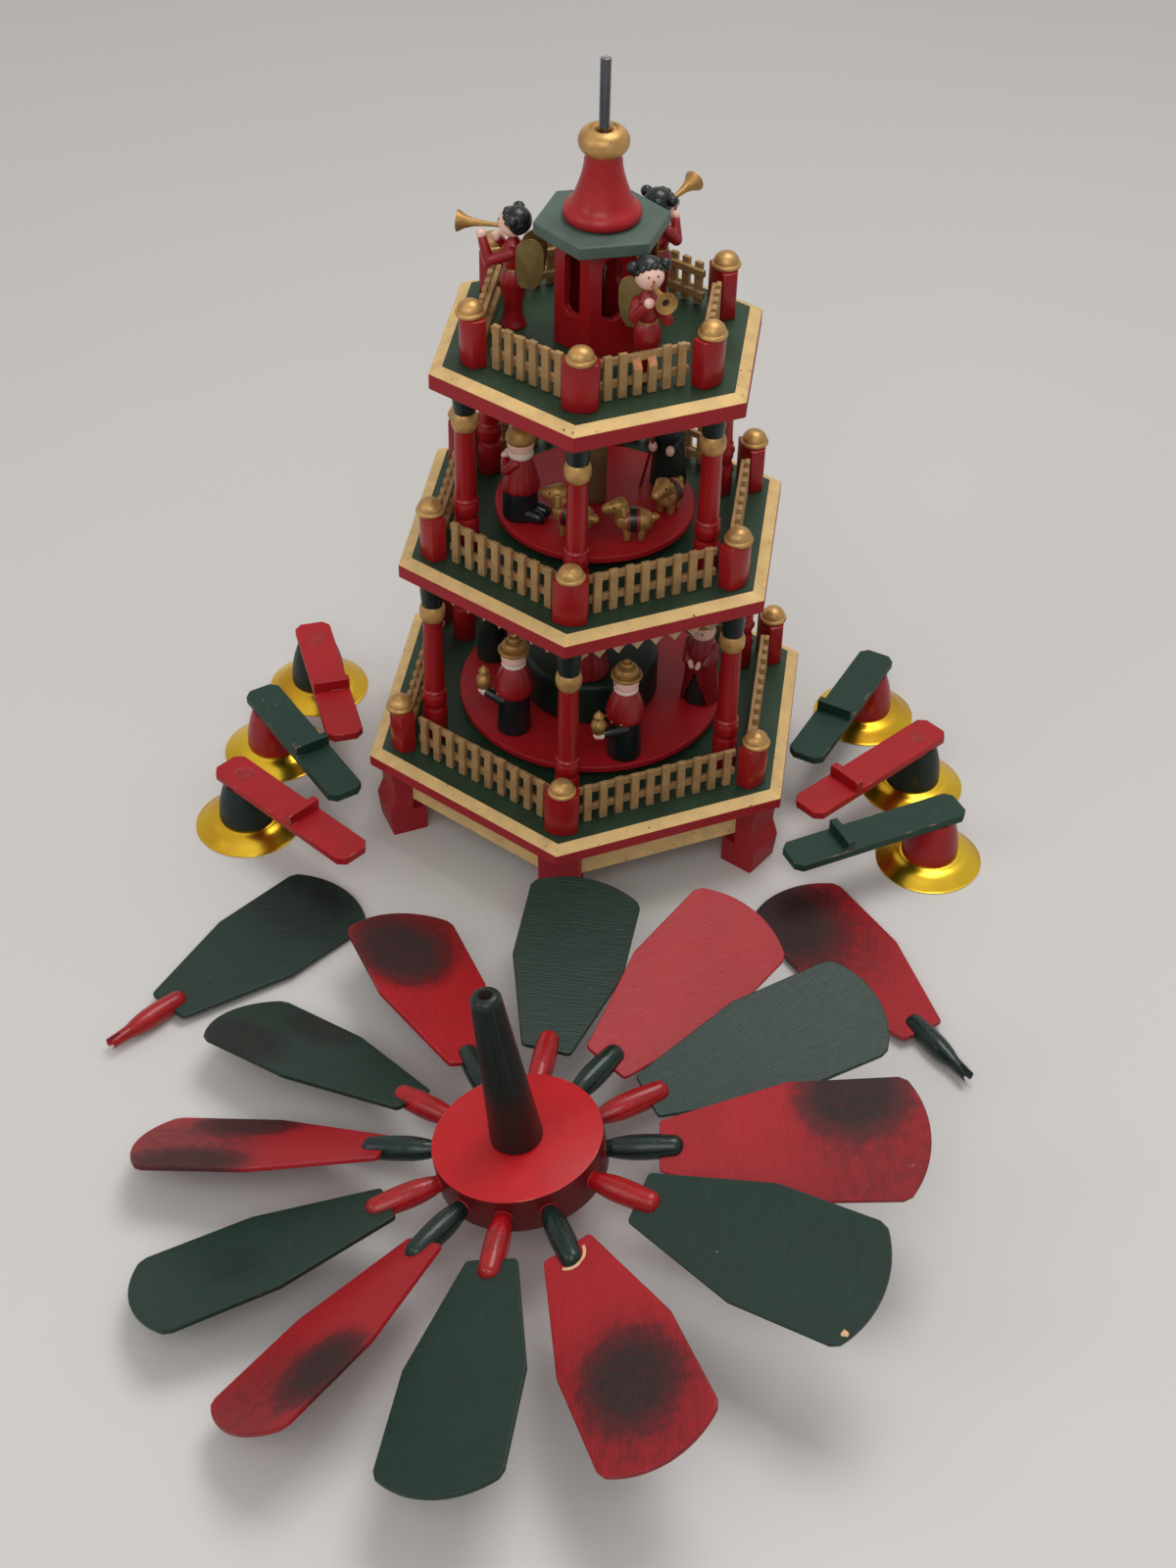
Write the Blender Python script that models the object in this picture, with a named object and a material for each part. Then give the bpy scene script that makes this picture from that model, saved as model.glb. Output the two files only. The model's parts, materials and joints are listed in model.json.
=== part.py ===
"""A three-tier Christmas candle pyramid, taken down for storage.

The tower stands at the back, six candle arms lie upside down beside it, and the
wing wheel lies upside down in front of it with two of its wings pulled out.
Metres, +Z up.
"""
from math import cos, pi, radians, sin, sqrt, tan

import bmesh
import bpy
from mathutils import Matrix, Vector

# Clearances
GAP = 0.0003
RUNNING_GAP = 0.0005
GLUE = 0.0002
GROOVE_GAP = 0.0008

# Hexagon layout of the tower, as the angles of its first corner and first side
SIDES = 6
STEP = 360 / SIDES
FIRST_CORNER = 203.25
FIRST_SIDE = FIRST_CORNER + STEP / 2

# Decks: corner radius, height of the painted edge above the table, edge thickness
BASE_RADIUS = 0.1000
BASE_TOP = 0.0413
BASE_EDGE = 0.0062
MIDDLE_RADIUS = 0.0842
MIDDLE_TOP = 0.1357
MIDDLE_EDGE = 0.0071
TOP_RADIUS = 0.0695
TOP_TOP = 0.2203
TOP_EDGE = 0.0078
GOLD_BAND = 0.0060
BAND_RISE = 0.0010
SHAFT_HOLE = 0.0050

# Feet and the apron boards between them
FOOT_WIDTH = 0.0170
FOOT_SET_IN = 0.0060
FOOT_DEPTH = 0.0160
FOOT_WAIST = 0.0018
FOOT_KINK = 0.0120
APRON_SET_IN = 0.0096
APRON_THICK = 0.0030
APRON_HIGH = 0.0125
ARM_CLEARANCE = 0.0012
GROOVE_DEEP = 0.0025
GROOVE_BELOW = 0.0055

# Balustrades: corner posts with gilded knobs, and picket panels between them
POST_WIDTH = 0.0140
POST_DEPTH = 0.0105
POST_HIGH = 0.0200
POST_BULGE = 0.0016
BASE_POST_OUT = 0.0873
MIDDLE_POST_OUT = 0.0717
TOP_POST_OUT = 0.0537
KNOB_RADIUS = 0.0054
KNOB_RING = 0.0058
KNOB_HIGH = 0.0062
SLAT_WIDTH = 0.0033
SLAT_HIGH = 0.0190
SLAT_THICK = 0.0016
RAIL_THICK = 0.0016
RAIL_HIGH = 0.0030
LOWER_RAIL = 0.0040
UPPER_RAIL = 0.0125
RAIL_SEAT = 0.0010
FENCE_INSET = 0.0048
BASE_SLATS = 10
MIDDLE_SLATS = 8
TOP_SLATS = 6
BROKEN_SLAT_HIGH = 0.0150

# Columns
LOWER_COLUMN_AT = 0.0705
UPPER_COLUMN_AT = 0.0553
COLUMN_RADIUS = 0.0037
COLUMN_SWELL = 1.36
LOWER_DRUM = 0.0210
UPPER_DRUM = 0.0165
COLUMN_BALL = 0.0088
COLUMN_RING = 0.0075
COLUMN_CAPITAL = 0.0140

# Zigzag valance under the middle deck
VALANCE_CLEARANCE = 0.0005
VALANCE_THICK = 0.0020
VALANCE_DROP = 0.0170
VALANCE_TEETH = 8
VALANCE_TOOTH = 0.0050

# Open gazebo drum, its roof and its spire
GAZEBO_RADIUS = 0.0180
GAZEBO_HIGH = 0.0450
GAZEBO_BORE = 0.0125
GAZEBO_TURN = -6
WINDOW_WIDTH = 0.0080
WINDOW_BOTTOM = 0.0150
WINDOW_TOP = 0.0410
ROOF_RADIUS = 0.0262
ROOF_THICK = 0.0050
ROOF_TURN = -11
SPIRE_RADIUS = 0.0148
SPIRE_NECK = 0.0071
SPIRE_HIGH = 0.0235
COLLAR_RADIUS = 0.0096
COLLAR_HIGH = 0.0130
COLLAR_BORE = 0.0028

# Shaft, its bearing and the turntables
SHAFT_RADIUS = 0.0021
SHAFT_STANDS_OUT = 0.0255
SHAFT_POINT = 0.0030
BEARING_RADIUS = 0.0060
BEARING_HIGH = 0.0055
BEARING_SUNK = 0.0045
BEARING_DIMPLE = 0.0026
LOWER_TABLE_RADIUS = 0.0560
LOWER_TABLE_RISE = 0.0087
MIDDLE_TABLE_RADIUS = 0.0405
MIDDLE_TABLE_RISE = 0.0093
TABLE_THICK = 0.0030
PEDESTAL_RADIUS = 0.0284
PEDESTAL_HIGH = 0.0200
PEDESTAL_ROUNDING = 0.0030
SLEEVE_RADIUS = 0.0045
SLEEVE_HIGH = 0.0500

# Figures: distance from the shaft, place round it and facing in degrees
WISE_MAN_LEFT = (0.0440, 224, 150)
WISE_MAN_RIGHT = (0.0475, 288, 195)
CLOAKED = (0.0470, 351, 245)
ROBED = (0.0466, 157, 157)
MOTHER = (0.0160, 262, 262)
KNEELING = (0.0320, 202, 155)
WITH_STAFF = (0.0330, 27, 245)
SHEEP = ((0.0274, 252, 140), (0.0308, 300, 182), (0.0305, 346, 225))
ANGELS = (
    ("angel_left", 0.0340, 168, 155),
    ("angel_front", 0.0345, 301, 287),
    ("angel_back", 0.0335, 49, 62),
)

# Candle arms, lying upside down on their drip pans
ARM_LENGTH = 0.0820
ARM_WIDTH = 0.0160
ARM_THICK = 0.0036
ARM_CORNER = 0.0030
ARM_PAST_CUP = 0.0120
ARM_STOP_HIGH = 0.0050
ARM_STOP_WIDE = 0.0035
CUP_RADIUS = 0.0120
CUP_TOP_RADIUS = 0.0085
CUP_HIGH = 0.0185
CANDLE_RADIUS = 0.0070
CANDLE_DEEP = 0.0140
PAN_RADIUS = 0.0224
PAN_HIGH = 0.0056
PAN_SHEET = 0.0006

# Wing wheel: hub, sleeve that slips over the shaft, and the knob on its other side
HUB_RADIUS = 0.0311
HUB_HIGH = 0.0154
WHEEL_SLEEVE_RADIUS = 0.0096
WHEEL_SLEEVE_TIP = 0.0054
WHEEL_SLEEVE_LONG = 0.0700
SLEEVE_BORE_DEEP = 0.0350
SLEEVE_CLEARANCE = 0.0002
WHEEL_KNOB_RADIUS = 0.0090
WHEEL_KNOB_NECK = 0.0050

# Wings: places along the stem's axis, measured from the hub's centre
WINGS = 12
STEM_START = 0.0216
STEM_END = 0.0590
STEM_RADIUS = 0.0042
STEM_TENON = 0.0025
STEM_NECK_AT = 0.0330
STEM_SWELL_AT = 0.0430
BLADE_START = 0.0503
BLADE_SHOULDER = 0.0962
BLADE_END = 0.1374
BLADE_BOW = 0.0085
BLADE_CORNER = 0.0020
BLADE_ROOT_HALF = 0.0098
BLADE_SHOULDER_HALF = 0.0219
BLADE_END_HALF = 0.0224
BLADE_THICK = 0.0020

# Layout on the table, measured from the tower's shaft
WHEEL_AT = (-0.0200, -0.2480)
WHEEL_STEM_HEIGHT = 0.0340
WHEEL_LEAN = 9.3
WHEEL_LEAN_TOWARDS = 167
FIRST_WING = 81.4
WING_DRIFT = (0, 2, 4, 5, 7, 0, 0, 0, 2, 1, 3, 2)
WING_PITCH = (16, 26, 17, 27, 28, 17, 8, 24, 11, 24, 22, 21)
LOOSE_WINGS = (
    ("loose_wing_left", (-0.1822, -0.1751), 48.7, "green"),
    ("loose_wing_right", (0.1503, -0.1798), 122.8, "red"),
)
LOOSE_DROOP = 1.6
# Candle arms: cup's place, heading of the tail, stop bar's distance from the tail
ARM_PLACES = (
    ((0.1462, -0.0500), -153.8, 0.0250, "green"),
    ((0.1425, -0.0022), -136.6, 0.0250, "red"),
    ((0.1245, 0.0460), -117.1, 0.0330, "green"),
    ((-0.1457, -0.0392), -42.2, 0.0330, "red"),
    ((-0.1396, 0.0097), -56.4, 0.0330, "green"),
    ((-0.1250, 0.0560), -73.5, 0.0330, "red"),
)

# How finely round things are cut
FINE = 32
ROUND = 16
CUP_SIDES = 14
SMALL = 10
TINY = 8

# Painted and plain finishes: linear colour, metallic, roughness
FINISHES = {
    "red": ((0.42, 0.010, 0.016), 0.0, 0.38),
    "green": ((0.012, 0.045, 0.030), 0.0, 0.42),
    "gold": ((0.42, 0.26, 0.085), 0.35, 0.42),
    "ochre": ((0.30, 0.19, 0.075), 0.15, 0.55),
    "wood": ((0.62, 0.47, 0.28), 0.0, 0.60),
    "steel": ((0.55, 0.55, 0.57), 1.0, 0.22),
    "brass": ((0.80, 0.52, 0.08), 1.0, 0.25),
    "glass": ((0.80, 0.85, 0.85), 0.0, 0.10),
    "black": ((0.010, 0.012, 0.014), 0.0, 0.35),
}


def clear_scene():
    """Start from an empty scene."""
    for ob in list(bpy.data.objects):
        bpy.data.objects.remove(ob, do_unlink=True)


def finish(name):
    """Return the finish's material, made once."""
    material = bpy.data.materials.get(name)
    if material is None:
        colour, metallic, roughness = FINISHES[name]
        material = bpy.data.materials.new(name)
        material.use_nodes = True
        shader = material.node_tree.nodes["Principled BSDF"]
        shader.inputs["Base Color"].default_value = (*colour, 1.0)
        shader.inputs["Metallic"].default_value = metallic
        shader.inputs["Roughness"].default_value = roughness
    return material


def made(name, shape, colour, parent, location=(0, 0, 0), turn=(0, 0, 0)):
    """Make a named object from a bmesh and hang it on its parent."""
    mesh = bpy.data.meshes.new(name)
    shape.to_mesh(mesh)
    shape.free()
    mesh.materials.append(finish(colour))
    mesh.shade_smooth()
    mesh.set_sharp_from_angle(angle=radians(35))
    ob = bpy.data.objects.new(name, mesh)
    bpy.context.collection.objects.link(ob)
    ob.parent = parent
    ob.location = location
    ob.rotation_euler = turn
    return ob


def marker(name, parent=None, location=(0, 0, 0)):
    """An empty that carries a group of pieces."""
    ob = bpy.data.objects.new(name, None)
    bpy.context.collection.objects.link(ob)
    ob.parent = parent
    ob.location = location
    return ob


def around(radius, angle, height=0.0):
    """A point at a distance from the upright axis, by its angle in degrees."""
    return Vector((radius * cos(radians(angle)), radius * sin(radians(angle)), height))


def placed(shape, x=0.0, y=0.0, z=0.0, turn=0.0, pitch=0.0, roll=0.0):
    """Roll about X, pitch about Y and turn about Z, then move a bmesh."""
    matrix = (
        Matrix.Translation((x, y, z))
        @ Matrix.Rotation(radians(turn), 4, "Z")
        @ Matrix.Rotation(radians(pitch), 4, "Y")
        @ Matrix.Rotation(radians(roll), 4, "X")
    )
    bmesh.ops.transform(shape, matrix=matrix, verts=shape.verts)
    return shape


def box(x_low, x_high, y_low, y_high, z_low, z_high):
    """A plain block between two corners."""
    shape = bmesh.new()
    bmesh.ops.create_cube(shape, size=1.0)
    for vertex in shape.verts:
        x, y, z = vertex.co
        vertex.co = (
            x_low if x < 0 else x_high,
            y_low if y < 0 else y_high,
            z_low if z < 0 else z_high,
        )
    return shape


def turned(profile, sides, hollow=False):
    """Turn a profile of (radius, height) points about the Z axis."""
    shape = bmesh.new()
    points = [shape.verts.new((radius, 0, height)) for radius, height in profile]
    edges = [shape.edges.new(pair) for pair in zip(points, points[1:])]
    if hollow:
        edges.append(shape.edges.new((points[-1], points[0])))
    bmesh.ops.spin(
        shape, geom=points + edges, cent=(0, 0, 0), axis=(0, 0, 1),
        angle=2 * pi, steps=sides, use_merge=True,
    )
    bmesh.ops.remove_doubles(shape, verts=shape.verts, dist=0.000001)
    bmesh.ops.recalc_face_normals(shape, faces=shape.faces)
    return shape


def drill(radius, low, high, sides=ROUND):
    """A cutter for a round hole about the Z axis."""
    return turned([(0, low), (radius, low), (radius, high), (0, high)], sides)


def prism(outline, low, high):
    """Extrude a flat outline of (x, y) points from one height to another."""
    shape = bmesh.new()
    face = shape.faces.new([shape.verts.new((x, y, low)) for x, y in outline])
    grown = bmesh.ops.extrude_face_region(shape, geom=[face])
    raised = [item for item in grown["geom"] if isinstance(item, bmesh.types.BMVert)]
    bmesh.ops.translate(shape, verts=raised, vec=(0, 0, high - low))
    bmesh.ops.recalc_face_normals(shape, faces=shape.faces)
    return shape


def ball(radius, stretch=1.0, sides=SMALL):
    """A ball about the origin, stretched along Z."""
    shape = bmesh.new()
    bmesh.ops.create_uvsphere(shape, u_segments=sides, v_segments=max(4, sides // 2), radius=radius)
    bmesh.ops.scale(shape, vec=(1, 1, stretch), verts=shape.verts)
    return shape


def rod(start, end, start_radius, end_radius, sides=TINY):
    """A straight or tapered round bar between two points."""
    start, end = Vector(start), Vector(end)
    shape = bmesh.new()
    bmesh.ops.create_cone(
        shape, cap_ends=True, segments=sides, radius1=start_radius, radius2=end_radius,
        depth=(end - start).length,
    )
    aim = Vector((0, 0, 1)).rotation_difference(end - start).to_matrix().to_4x4()
    matrix = Matrix.Translation((start + end) / 2) @ aim
    bmesh.ops.transform(shape, matrix=matrix, verts=shape.verts)
    return shape


def side_by_side(shapes):
    """Put shapes that don't meet into one bmesh."""
    together = bmesh.new()
    for shape in shapes:
        mesh = bpy.data.meshes.new("shape")
        shape.to_mesh(mesh)
        shape.free()
        together.from_mesh(mesh)
        bpy.data.meshes.remove(mesh)
    return together


def combined(first, second, operation="UNION"):
    """Join, or cut, one bmesh with another by an exact Boolean."""
    tools = []
    for shape in (first, second):
        mesh = bpy.data.meshes.new("tool")
        shape.to_mesh(mesh)
        shape.free()
        ob = bpy.data.objects.new("tool", mesh)
        bpy.context.collection.objects.link(ob)
        tools.append(ob)
    modifier = tools[0].modifiers.new("combine", "BOOLEAN")
    modifier.operation = operation
    modifier.solver = "EXACT"
    modifier.object = tools[1]
    result = bmesh.new()
    result.from_object(tools[0], bpy.context.evaluated_depsgraph_get())
    for ob in tools:
        mesh = ob.data
        bpy.data.objects.remove(ob, do_unlink=True)
        bpy.data.meshes.remove(mesh)
    return result


def fused(shapes):
    """Join several shapes that overlap one another into one solid."""
    result = shapes[0]
    for shape in shapes[1:]:
        result = combined(result, shape)
    return result


def hexagon(radius, turn=FIRST_CORNER):
    """The corners of a hexagon about the shaft."""
    return [around(radius, turn + STEP * k).xy for k in range(SIDES)]


def apothem(radius):
    """Distance from the shaft to the middle of a hexagon's side."""
    return radius * cos(radians(STEP / 2))


def half_side(distance):
    """Half the length of a hexagon's side that lies this far from the shaft."""
    return distance * tan(radians(STEP / 2))


def corner_run(width):
    """How far along a side a corner piece of this width reaches from the corner."""
    return width / 2 / sin(radians(STEP))


# Decks


def deck_surface(top):
    """Height of the green surface inside a deck's gold band."""
    return top + BAND_RISE


def deck(radius, top, edge, hole=SHAFT_HOLE, hole_floor=None):
    """A hexagonal board whose gold band slopes up to the green surface."""
    shape = prism(hexagon(radius), top - edge, top)
    upper = max(shape.faces, key=lambda face: face.calc_center_median().z)
    bmesh.ops.inset_region(
        shape, faces=[upper], thickness=GOLD_BAND, depth=BAND_RISE, use_even_offset=True
    )
    floor = top - 2 * edge if hole_floor is None else hole_floor
    return combined(shape, drill(hole, floor, top + edge), "DIFFERENCE")


def add_decks(tower):
    """The three decks. The lowest has a blind seat for the pivot bearing."""
    seat = deck_surface(BASE_TOP) - BEARING_SUNK - GAP
    base = deck(BASE_RADIUS, BASE_TOP, BASE_EDGE, BEARING_RADIUS + GAP, seat)
    made("base_deck", base, "green", tower)
    made("middle_deck", deck(MIDDLE_RADIUS, MIDDLE_TOP, MIDDLE_EDGE), "green", tower)
    made("top_deck", deck(TOP_RADIUS, TOP_TOP, TOP_EDGE), "green", tower)


# Feet and apron


def foot():
    """A block foot with a waisted outer face, standing along +X under a corner of the base."""
    high = BASE_TOP - BASE_EDGE - GAP
    outer = BASE_RADIUS - FOOT_SET_IN
    inner = outer - FOOT_DEPTH
    side = [
        (inner, 0),
        (outer - FOOT_WAIST / 3, 0),
        (outer + FOOT_WAIST / 2, FOOT_KINK),
        (outer - FOOT_WAIST, FOOT_KINK * 1.6),
        (outer - FOOT_WAIST * 0.8, high * 0.78),
        (outer, high),
        (inner, high),
    ]
    shape = prism(side, -FOOT_WIDTH / 2, FOOT_WIDTH / 2)
    return placed(shape, roll=90)


def apron_bar(end, thick, low, high):
    """A straight bar along one side of the base, this far into the feet at each end."""
    middle = apothem(BASE_RADIUS) - APRON_SET_IN - APRON_THICK / 2
    reach = half_side(middle) - corner_run(FOOT_WIDTH) + end
    return box(-reach, reach, middle - thick / 2, middle + thick / 2, low, high)


def add_foot_frame(tower):
    """Six feet joined by six apron boards, which leave a slot for each candle arm."""
    top = BASE_TOP - BASE_EDGE - ARM_THICK - ARM_CLEARANCE
    low = top - APRON_HIGH
    feet = side_by_side([placed(foot(), turn=FIRST_CORNER + STEP * k) for k in range(SIDES)])
    grooves, boards = [], []
    for k in range(SIDES):
        turn = FIRST_SIDE + STEP * k - 90
        groove = apron_bar(GROOVE_DEEP, APRON_THICK + GROOVE_GAP, low - GROOVE_BELOW, top + GROOVE_GAP)
        grooves.append(placed(groove, turn=turn))
        boards.append(placed(apron_bar(GROOVE_DEEP + GROOVE_GAP, APRON_THICK, low, top), turn=turn))
    feet = combined(feet, side_by_side(grooves), "DIFFERENCE")
    made("foot_frame", combined(feet, side_by_side(boards)), "red", tower)


# Balustrades


def post(out):
    """A corner post with a bowed outer face and a gilded knob, along +X."""
    half = POST_WIDTH / 2
    bow = [(out - POST_BULGE * t * t, half * t) for t in (-1, -0.4, 0.4, 1)]
    outline = [(out - POST_DEPTH, -half), *bow, (out - POST_DEPTH, half)]
    block = prism(outline, GAP, POST_HIGH)
    dome = [(0, POST_HIGH - GLUE), (KNOB_RING, POST_HIGH - GLUE), (KNOB_RING, POST_HIGH + KNOB_HIGH * 0.3)]
    for angle in (8, 45):
        height = POST_HIGH + KNOB_HIGH * (0.3 + 0.7 * sin(radians(angle)))
        dome.append((KNOB_RADIUS * cos(radians(angle)), height))
    dome.append((0, POST_HIGH + KNOB_HIGH))
    knob = placed(turned(dome, SMALL), x=out - POST_DEPTH / 2)
    return combined(block, knob)


def fence_out(post_out):
    """Distance from the shaft to a picket panel's outer face."""
    return apothem(post_out - FENCE_INSET)


def panel(out, slats, broken=()):
    """Slats on the outside of two rails that run into the posts, outer face at +Y."""
    fence = fence_out(out)
    reach = half_side(fence) - corner_run(POST_WIDTH)
    pitch = 2 * reach / slats
    back = fence - SLAT_THICK
    pickets = []
    for index in range(slats):
        left = -reach + pitch * (index + 0.5) - SLAT_WIDTH / 2
        high = BROKEN_SLAT_HIGH if index in broken else SLAT_HIGH
        pickets.append(box(left, left + SLAT_WIDTH, back, fence, GAP, high))
    seat = reach + RAIL_SEAT
    rails = [
        box(-seat, seat, back - RAIL_THICK, back, low, low + RAIL_HIGH)
        for low in (LOWER_RAIL, UPPER_RAIL)
    ]
    return combined(side_by_side(rails), side_by_side(pickets))


def add_balustrade(name, tower, surface, out, slats, broken_side=None):
    """Posts and picket panels all round one deck."""
    panels, posts = [], []
    for k in range(SIDES):
        broken = (slats // 2 - 1, slats // 2) if k == broken_side else ()
        panels.append(placed(panel(out, slats, broken), turn=FIRST_SIDE + STEP * k - 90))
        posts.append(placed(post(out), turn=FIRST_CORNER + STEP * k))
    ring = combined(side_by_side(posts), side_by_side(panels))
    made(name, ring, "ochre", tower, (0, 0, surface))


# Columns


def column(low, high, drum):
    """A turned column: base drum, ball, tapering shaft, gilt ring and capital."""
    length = high - low - 2 * GAP
    radius = COLUMN_RADIUS
    ring_low = length - COLUMN_CAPITAL - COLUMN_RING
    profile = [
        (0, 0),
        (radius * 1.32, 0),
        (radius * COLUMN_SWELL, drum - 0.0008),
        (radius * 1.05, drum),
        (radius * COLUMN_SWELL, drum + COLUMN_BALL * 0.45),
        (radius * 0.95, drum + COLUMN_BALL),
        (radius, ring_low),
        (radius * 1.40, ring_low + COLUMN_RING * 0.3),
        (radius * 1.40, ring_low + COLUMN_RING * 0.7),
        (radius * 1.10, ring_low + COLUMN_RING),
        (radius * 1.30, length),
        (0, length),
    ]
    return turned(profile, SMALL)


def add_columns(tower):
    """Six columns on each of the two storeys."""
    storeys = (
        ("lower_column", LOWER_COLUMN_AT, deck_surface(BASE_TOP), MIDDLE_TOP - MIDDLE_EDGE, LOWER_DRUM),
        ("upper_column", UPPER_COLUMN_AT, deck_surface(MIDDLE_TOP), TOP_TOP - TOP_EDGE, UPPER_DRUM),
    )
    for name, distance, low, high, drum in storeys:
        for k in range(SIDES):
            spot = around(distance, FIRST_CORNER + STEP * k, low + GAP)
            made(f"{name}_{k + 1}", column(low, high, drum), "red", tower, spot)


# Valance


def add_valance(tower):
    """Six zigzag boards, mitred behind the columns."""
    top = MIDDLE_TOP - MIDDLE_EDGE - GAP
    corner = LOWER_COLUMN_AT - COLUMN_SWELL * COLUMN_RADIUS - VALANCE_CLEARANCE
    ring = bmesh.new()
    loops = []
    for distance in (apothem(corner), apothem(corner) - VALANCE_THICK):
        lower, upper = [], []
        for k in range(SIDES):
            spin = Matrix.Rotation(radians(FIRST_SIDE + STEP * k - 90), 3, "Z")
            for point in range(2 * VALANCE_TEETH):
                across = half_side(distance) * (1 - point / VALANCE_TEETH)
                drop = VALANCE_DROP if point % 2 else VALANCE_DROP - VALANCE_TOOTH
                lower.append(ring.verts.new(spin @ Vector((across, distance, top - drop))))
                upper.append(ring.verts.new(spin @ Vector((across, distance, top))))
        loops.append((lower, upper))
    (out_low, out_high), (in_low, in_high) = loops
    for strip in ((out_low, out_high), (out_high, in_high), (in_high, in_low), (in_low, out_low)):
        for index, corner in enumerate(strip[0]):
            before = index - 1
            ring.faces.new((strip[0][before], corner, strip[1][index], strip[1][before]))
    bmesh.ops.recalc_face_normals(ring, faces=ring.faces)
    made("valance_ring", ring, "wood", tower)


# Gazebo, roof and spire


def window_cutter():
    """Two opposite round-ended windows, cut along X."""
    radius = WINDOW_WIDTH / 2
    ends = [(WINDOW_BOTTOM + radius, -180), (WINDOW_TOP - radius, 0)]
    outline = []
    for centre, start in ends:
        for step in range(5):
            angle = radians(start + 45 * step)
            outline.append((radius * cos(angle), centre + radius * sin(angle)))
    shape = prism(outline, -GAZEBO_RADIUS * 2, GAZEBO_RADIUS * 2)
    return placed(placed(shape, roll=90), turn=90)


def add_gazebo(tower):
    """The open drum, the roof board over it, and the spire that guides the shaft."""
    low = deck_surface(TOP_TOP) + GAP
    corner = FIRST_CORNER + GAZEBO_TURN
    drum = prism(hexagon(GAZEBO_RADIUS, corner), 0, GAZEBO_HIGH)
    drum = combined(drum, drill(GAZEBO_BORE, -GAZEBO_HIGH, 2 * GAZEBO_HIGH), "DIFFERENCE")
    for k in range(SIDES // 2):
        cutter = placed(window_cutter(), turn=corner + STEP / 2 + STEP * k)
        drum = combined(drum, cutter, "DIFFERENCE")
    made("gazebo_drum", drum, "red", tower, (0, 0, low))

    roof_low = low + GAZEBO_HIGH + GAP
    roof = prism(hexagon(ROOF_RADIUS, FIRST_CORNER + ROOF_TURN), 0, ROOF_THICK)
    roof = combined(roof, drill(SHAFT_HOLE, -ROOF_THICK, 2 * ROOF_THICK, SMALL), "DIFFERENCE")
    made("gazebo_roof", roof, "green", tower, (0, 0, roof_low))
    made("spire", spire(), "red", tower, (0, 0, roof_low + ROOF_THICK + GAP))


def spire():
    """A bell-shaped spire with a gilt collar, bored for the shaft."""
    neck = SPIRE_NECK
    lip = 0.0032
    profile = [
        (COLLAR_BORE, 0),
        (SPIRE_RADIUS * 0.93, 0),
        (SPIRE_RADIUS, lip * 0.4),
        (SPIRE_RADIUS * 0.97, lip),
    ]
    flare = SPIRE_RADIUS * 0.93 - neck
    for t in (0.25, 0.5, 0.75, 1.0):
        profile.append((neck + flare * (1 - t) ** 1.8, lip + (SPIRE_HIGH - lip) * t))
    for angle in (-50, -15, 20, 60):
        radius = neck * 0.75 + (COLLAR_RADIUS - neck * 0.75) * cos(radians(angle))
        profile.append((radius, SPIRE_HIGH + COLLAR_HIGH / 2 * (1 + sin(radians(angle)) * 1.05)))
    top = SPIRE_HIGH + COLLAR_HIGH
    profile += [(COLLAR_BORE * 1.7, top), (COLLAR_BORE * 1.5, top - 0.0012), (COLLAR_BORE, top - 0.0015)]
    return turned(profile, ROUND, hollow=True)


def spire_top():
    """Height of the gilt collar's top above the table."""
    return deck_surface(TOP_TOP) + GAP + GAZEBO_HIGH + GAP + ROOF_THICK + GAP + SPIRE_HIGH + COLLAR_HIGH


# Shaft and turntables


def table_bottom(deck_top, rise):
    """Underside of a turntable that runs this far above its deck's surface."""
    return deck_surface(deck_top) + rise - TABLE_THICK


def disc(radius, thick, bore, rounding=0.0, sides=FINE):
    """A round board with a bore. Its upper edge may be rounded over."""
    profile = [(bore, 0), (radius, 0), (radius, thick - rounding)]
    if rounding:
        profile += [(radius - rounding * 0.3, thick - rounding * 0.3), (radius - rounding, thick)]
    return turned([*profile, (bore, thick)], sides, hollow=True)


def add_spindle(spindle):
    """The steel shaft on its glass bearing, with two turntables."""
    seat = deck_surface(BASE_TOP) - BEARING_SUNK
    point = seat + BEARING_HIGH - BEARING_DIMPLE + GAP
    end = spire_top() + SHAFT_STANDS_OUT
    profile = [
        (0, point),
        (SHAFT_RADIUS, point + SHAFT_POINT),
        (SHAFT_RADIUS, end - 0.0005),
        (SHAFT_RADIUS - 0.0005, end),
        (0, end),
    ]
    made("spindle_rod", turned(profile, SMALL), "steel", spindle)
    bore = SHAFT_RADIUS + GAP

    low = table_bottom(BASE_TOP, LOWER_TABLE_RISE)
    table = disc(LOWER_TABLE_RADIUS, TABLE_THICK, bore)
    distance, angle, facing = ROBED
    robe = placed(robed_figure(), *around(distance, angle, TABLE_THICK - GLUE), turn=facing)
    made("lower_turntable", fused([table, robe]), "red", spindle, (0, 0, low))
    pedestal = disc(PEDESTAL_RADIUS, PEDESTAL_HIGH, bore, PEDESTAL_ROUNDING, 24)
    distance, angle, facing = MOTHER
    mother = placed(kneeling_mother(), *around(distance, angle, PEDESTAL_HIGH - GLUE), turn=facing)
    top = low + TABLE_THICK + GAP
    made("pedestal", fused([pedestal, mother]), "green", spindle, (0, 0, top))

    low = table_bottom(MIDDLE_TOP, MIDDLE_TABLE_RISE)
    table = disc(MIDDLE_TABLE_RADIUS, TABLE_THICK, bore)
    for distance, angle, facing in SHEEP:
        standing = placed(sheep(), *around(distance, angle, TABLE_THICK - GLUE), turn=facing)
        table = combined(table, standing)
    made("middle_turntable", table, "red", spindle, (0, 0, low))
    top = low + TABLE_THICK + GAP
    made("middle_sleeve", disc(SLEEVE_RADIUS, SLEEVE_HIGH, bore, sides=SMALL), "gold", spindle, (0, 0, top))


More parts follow.
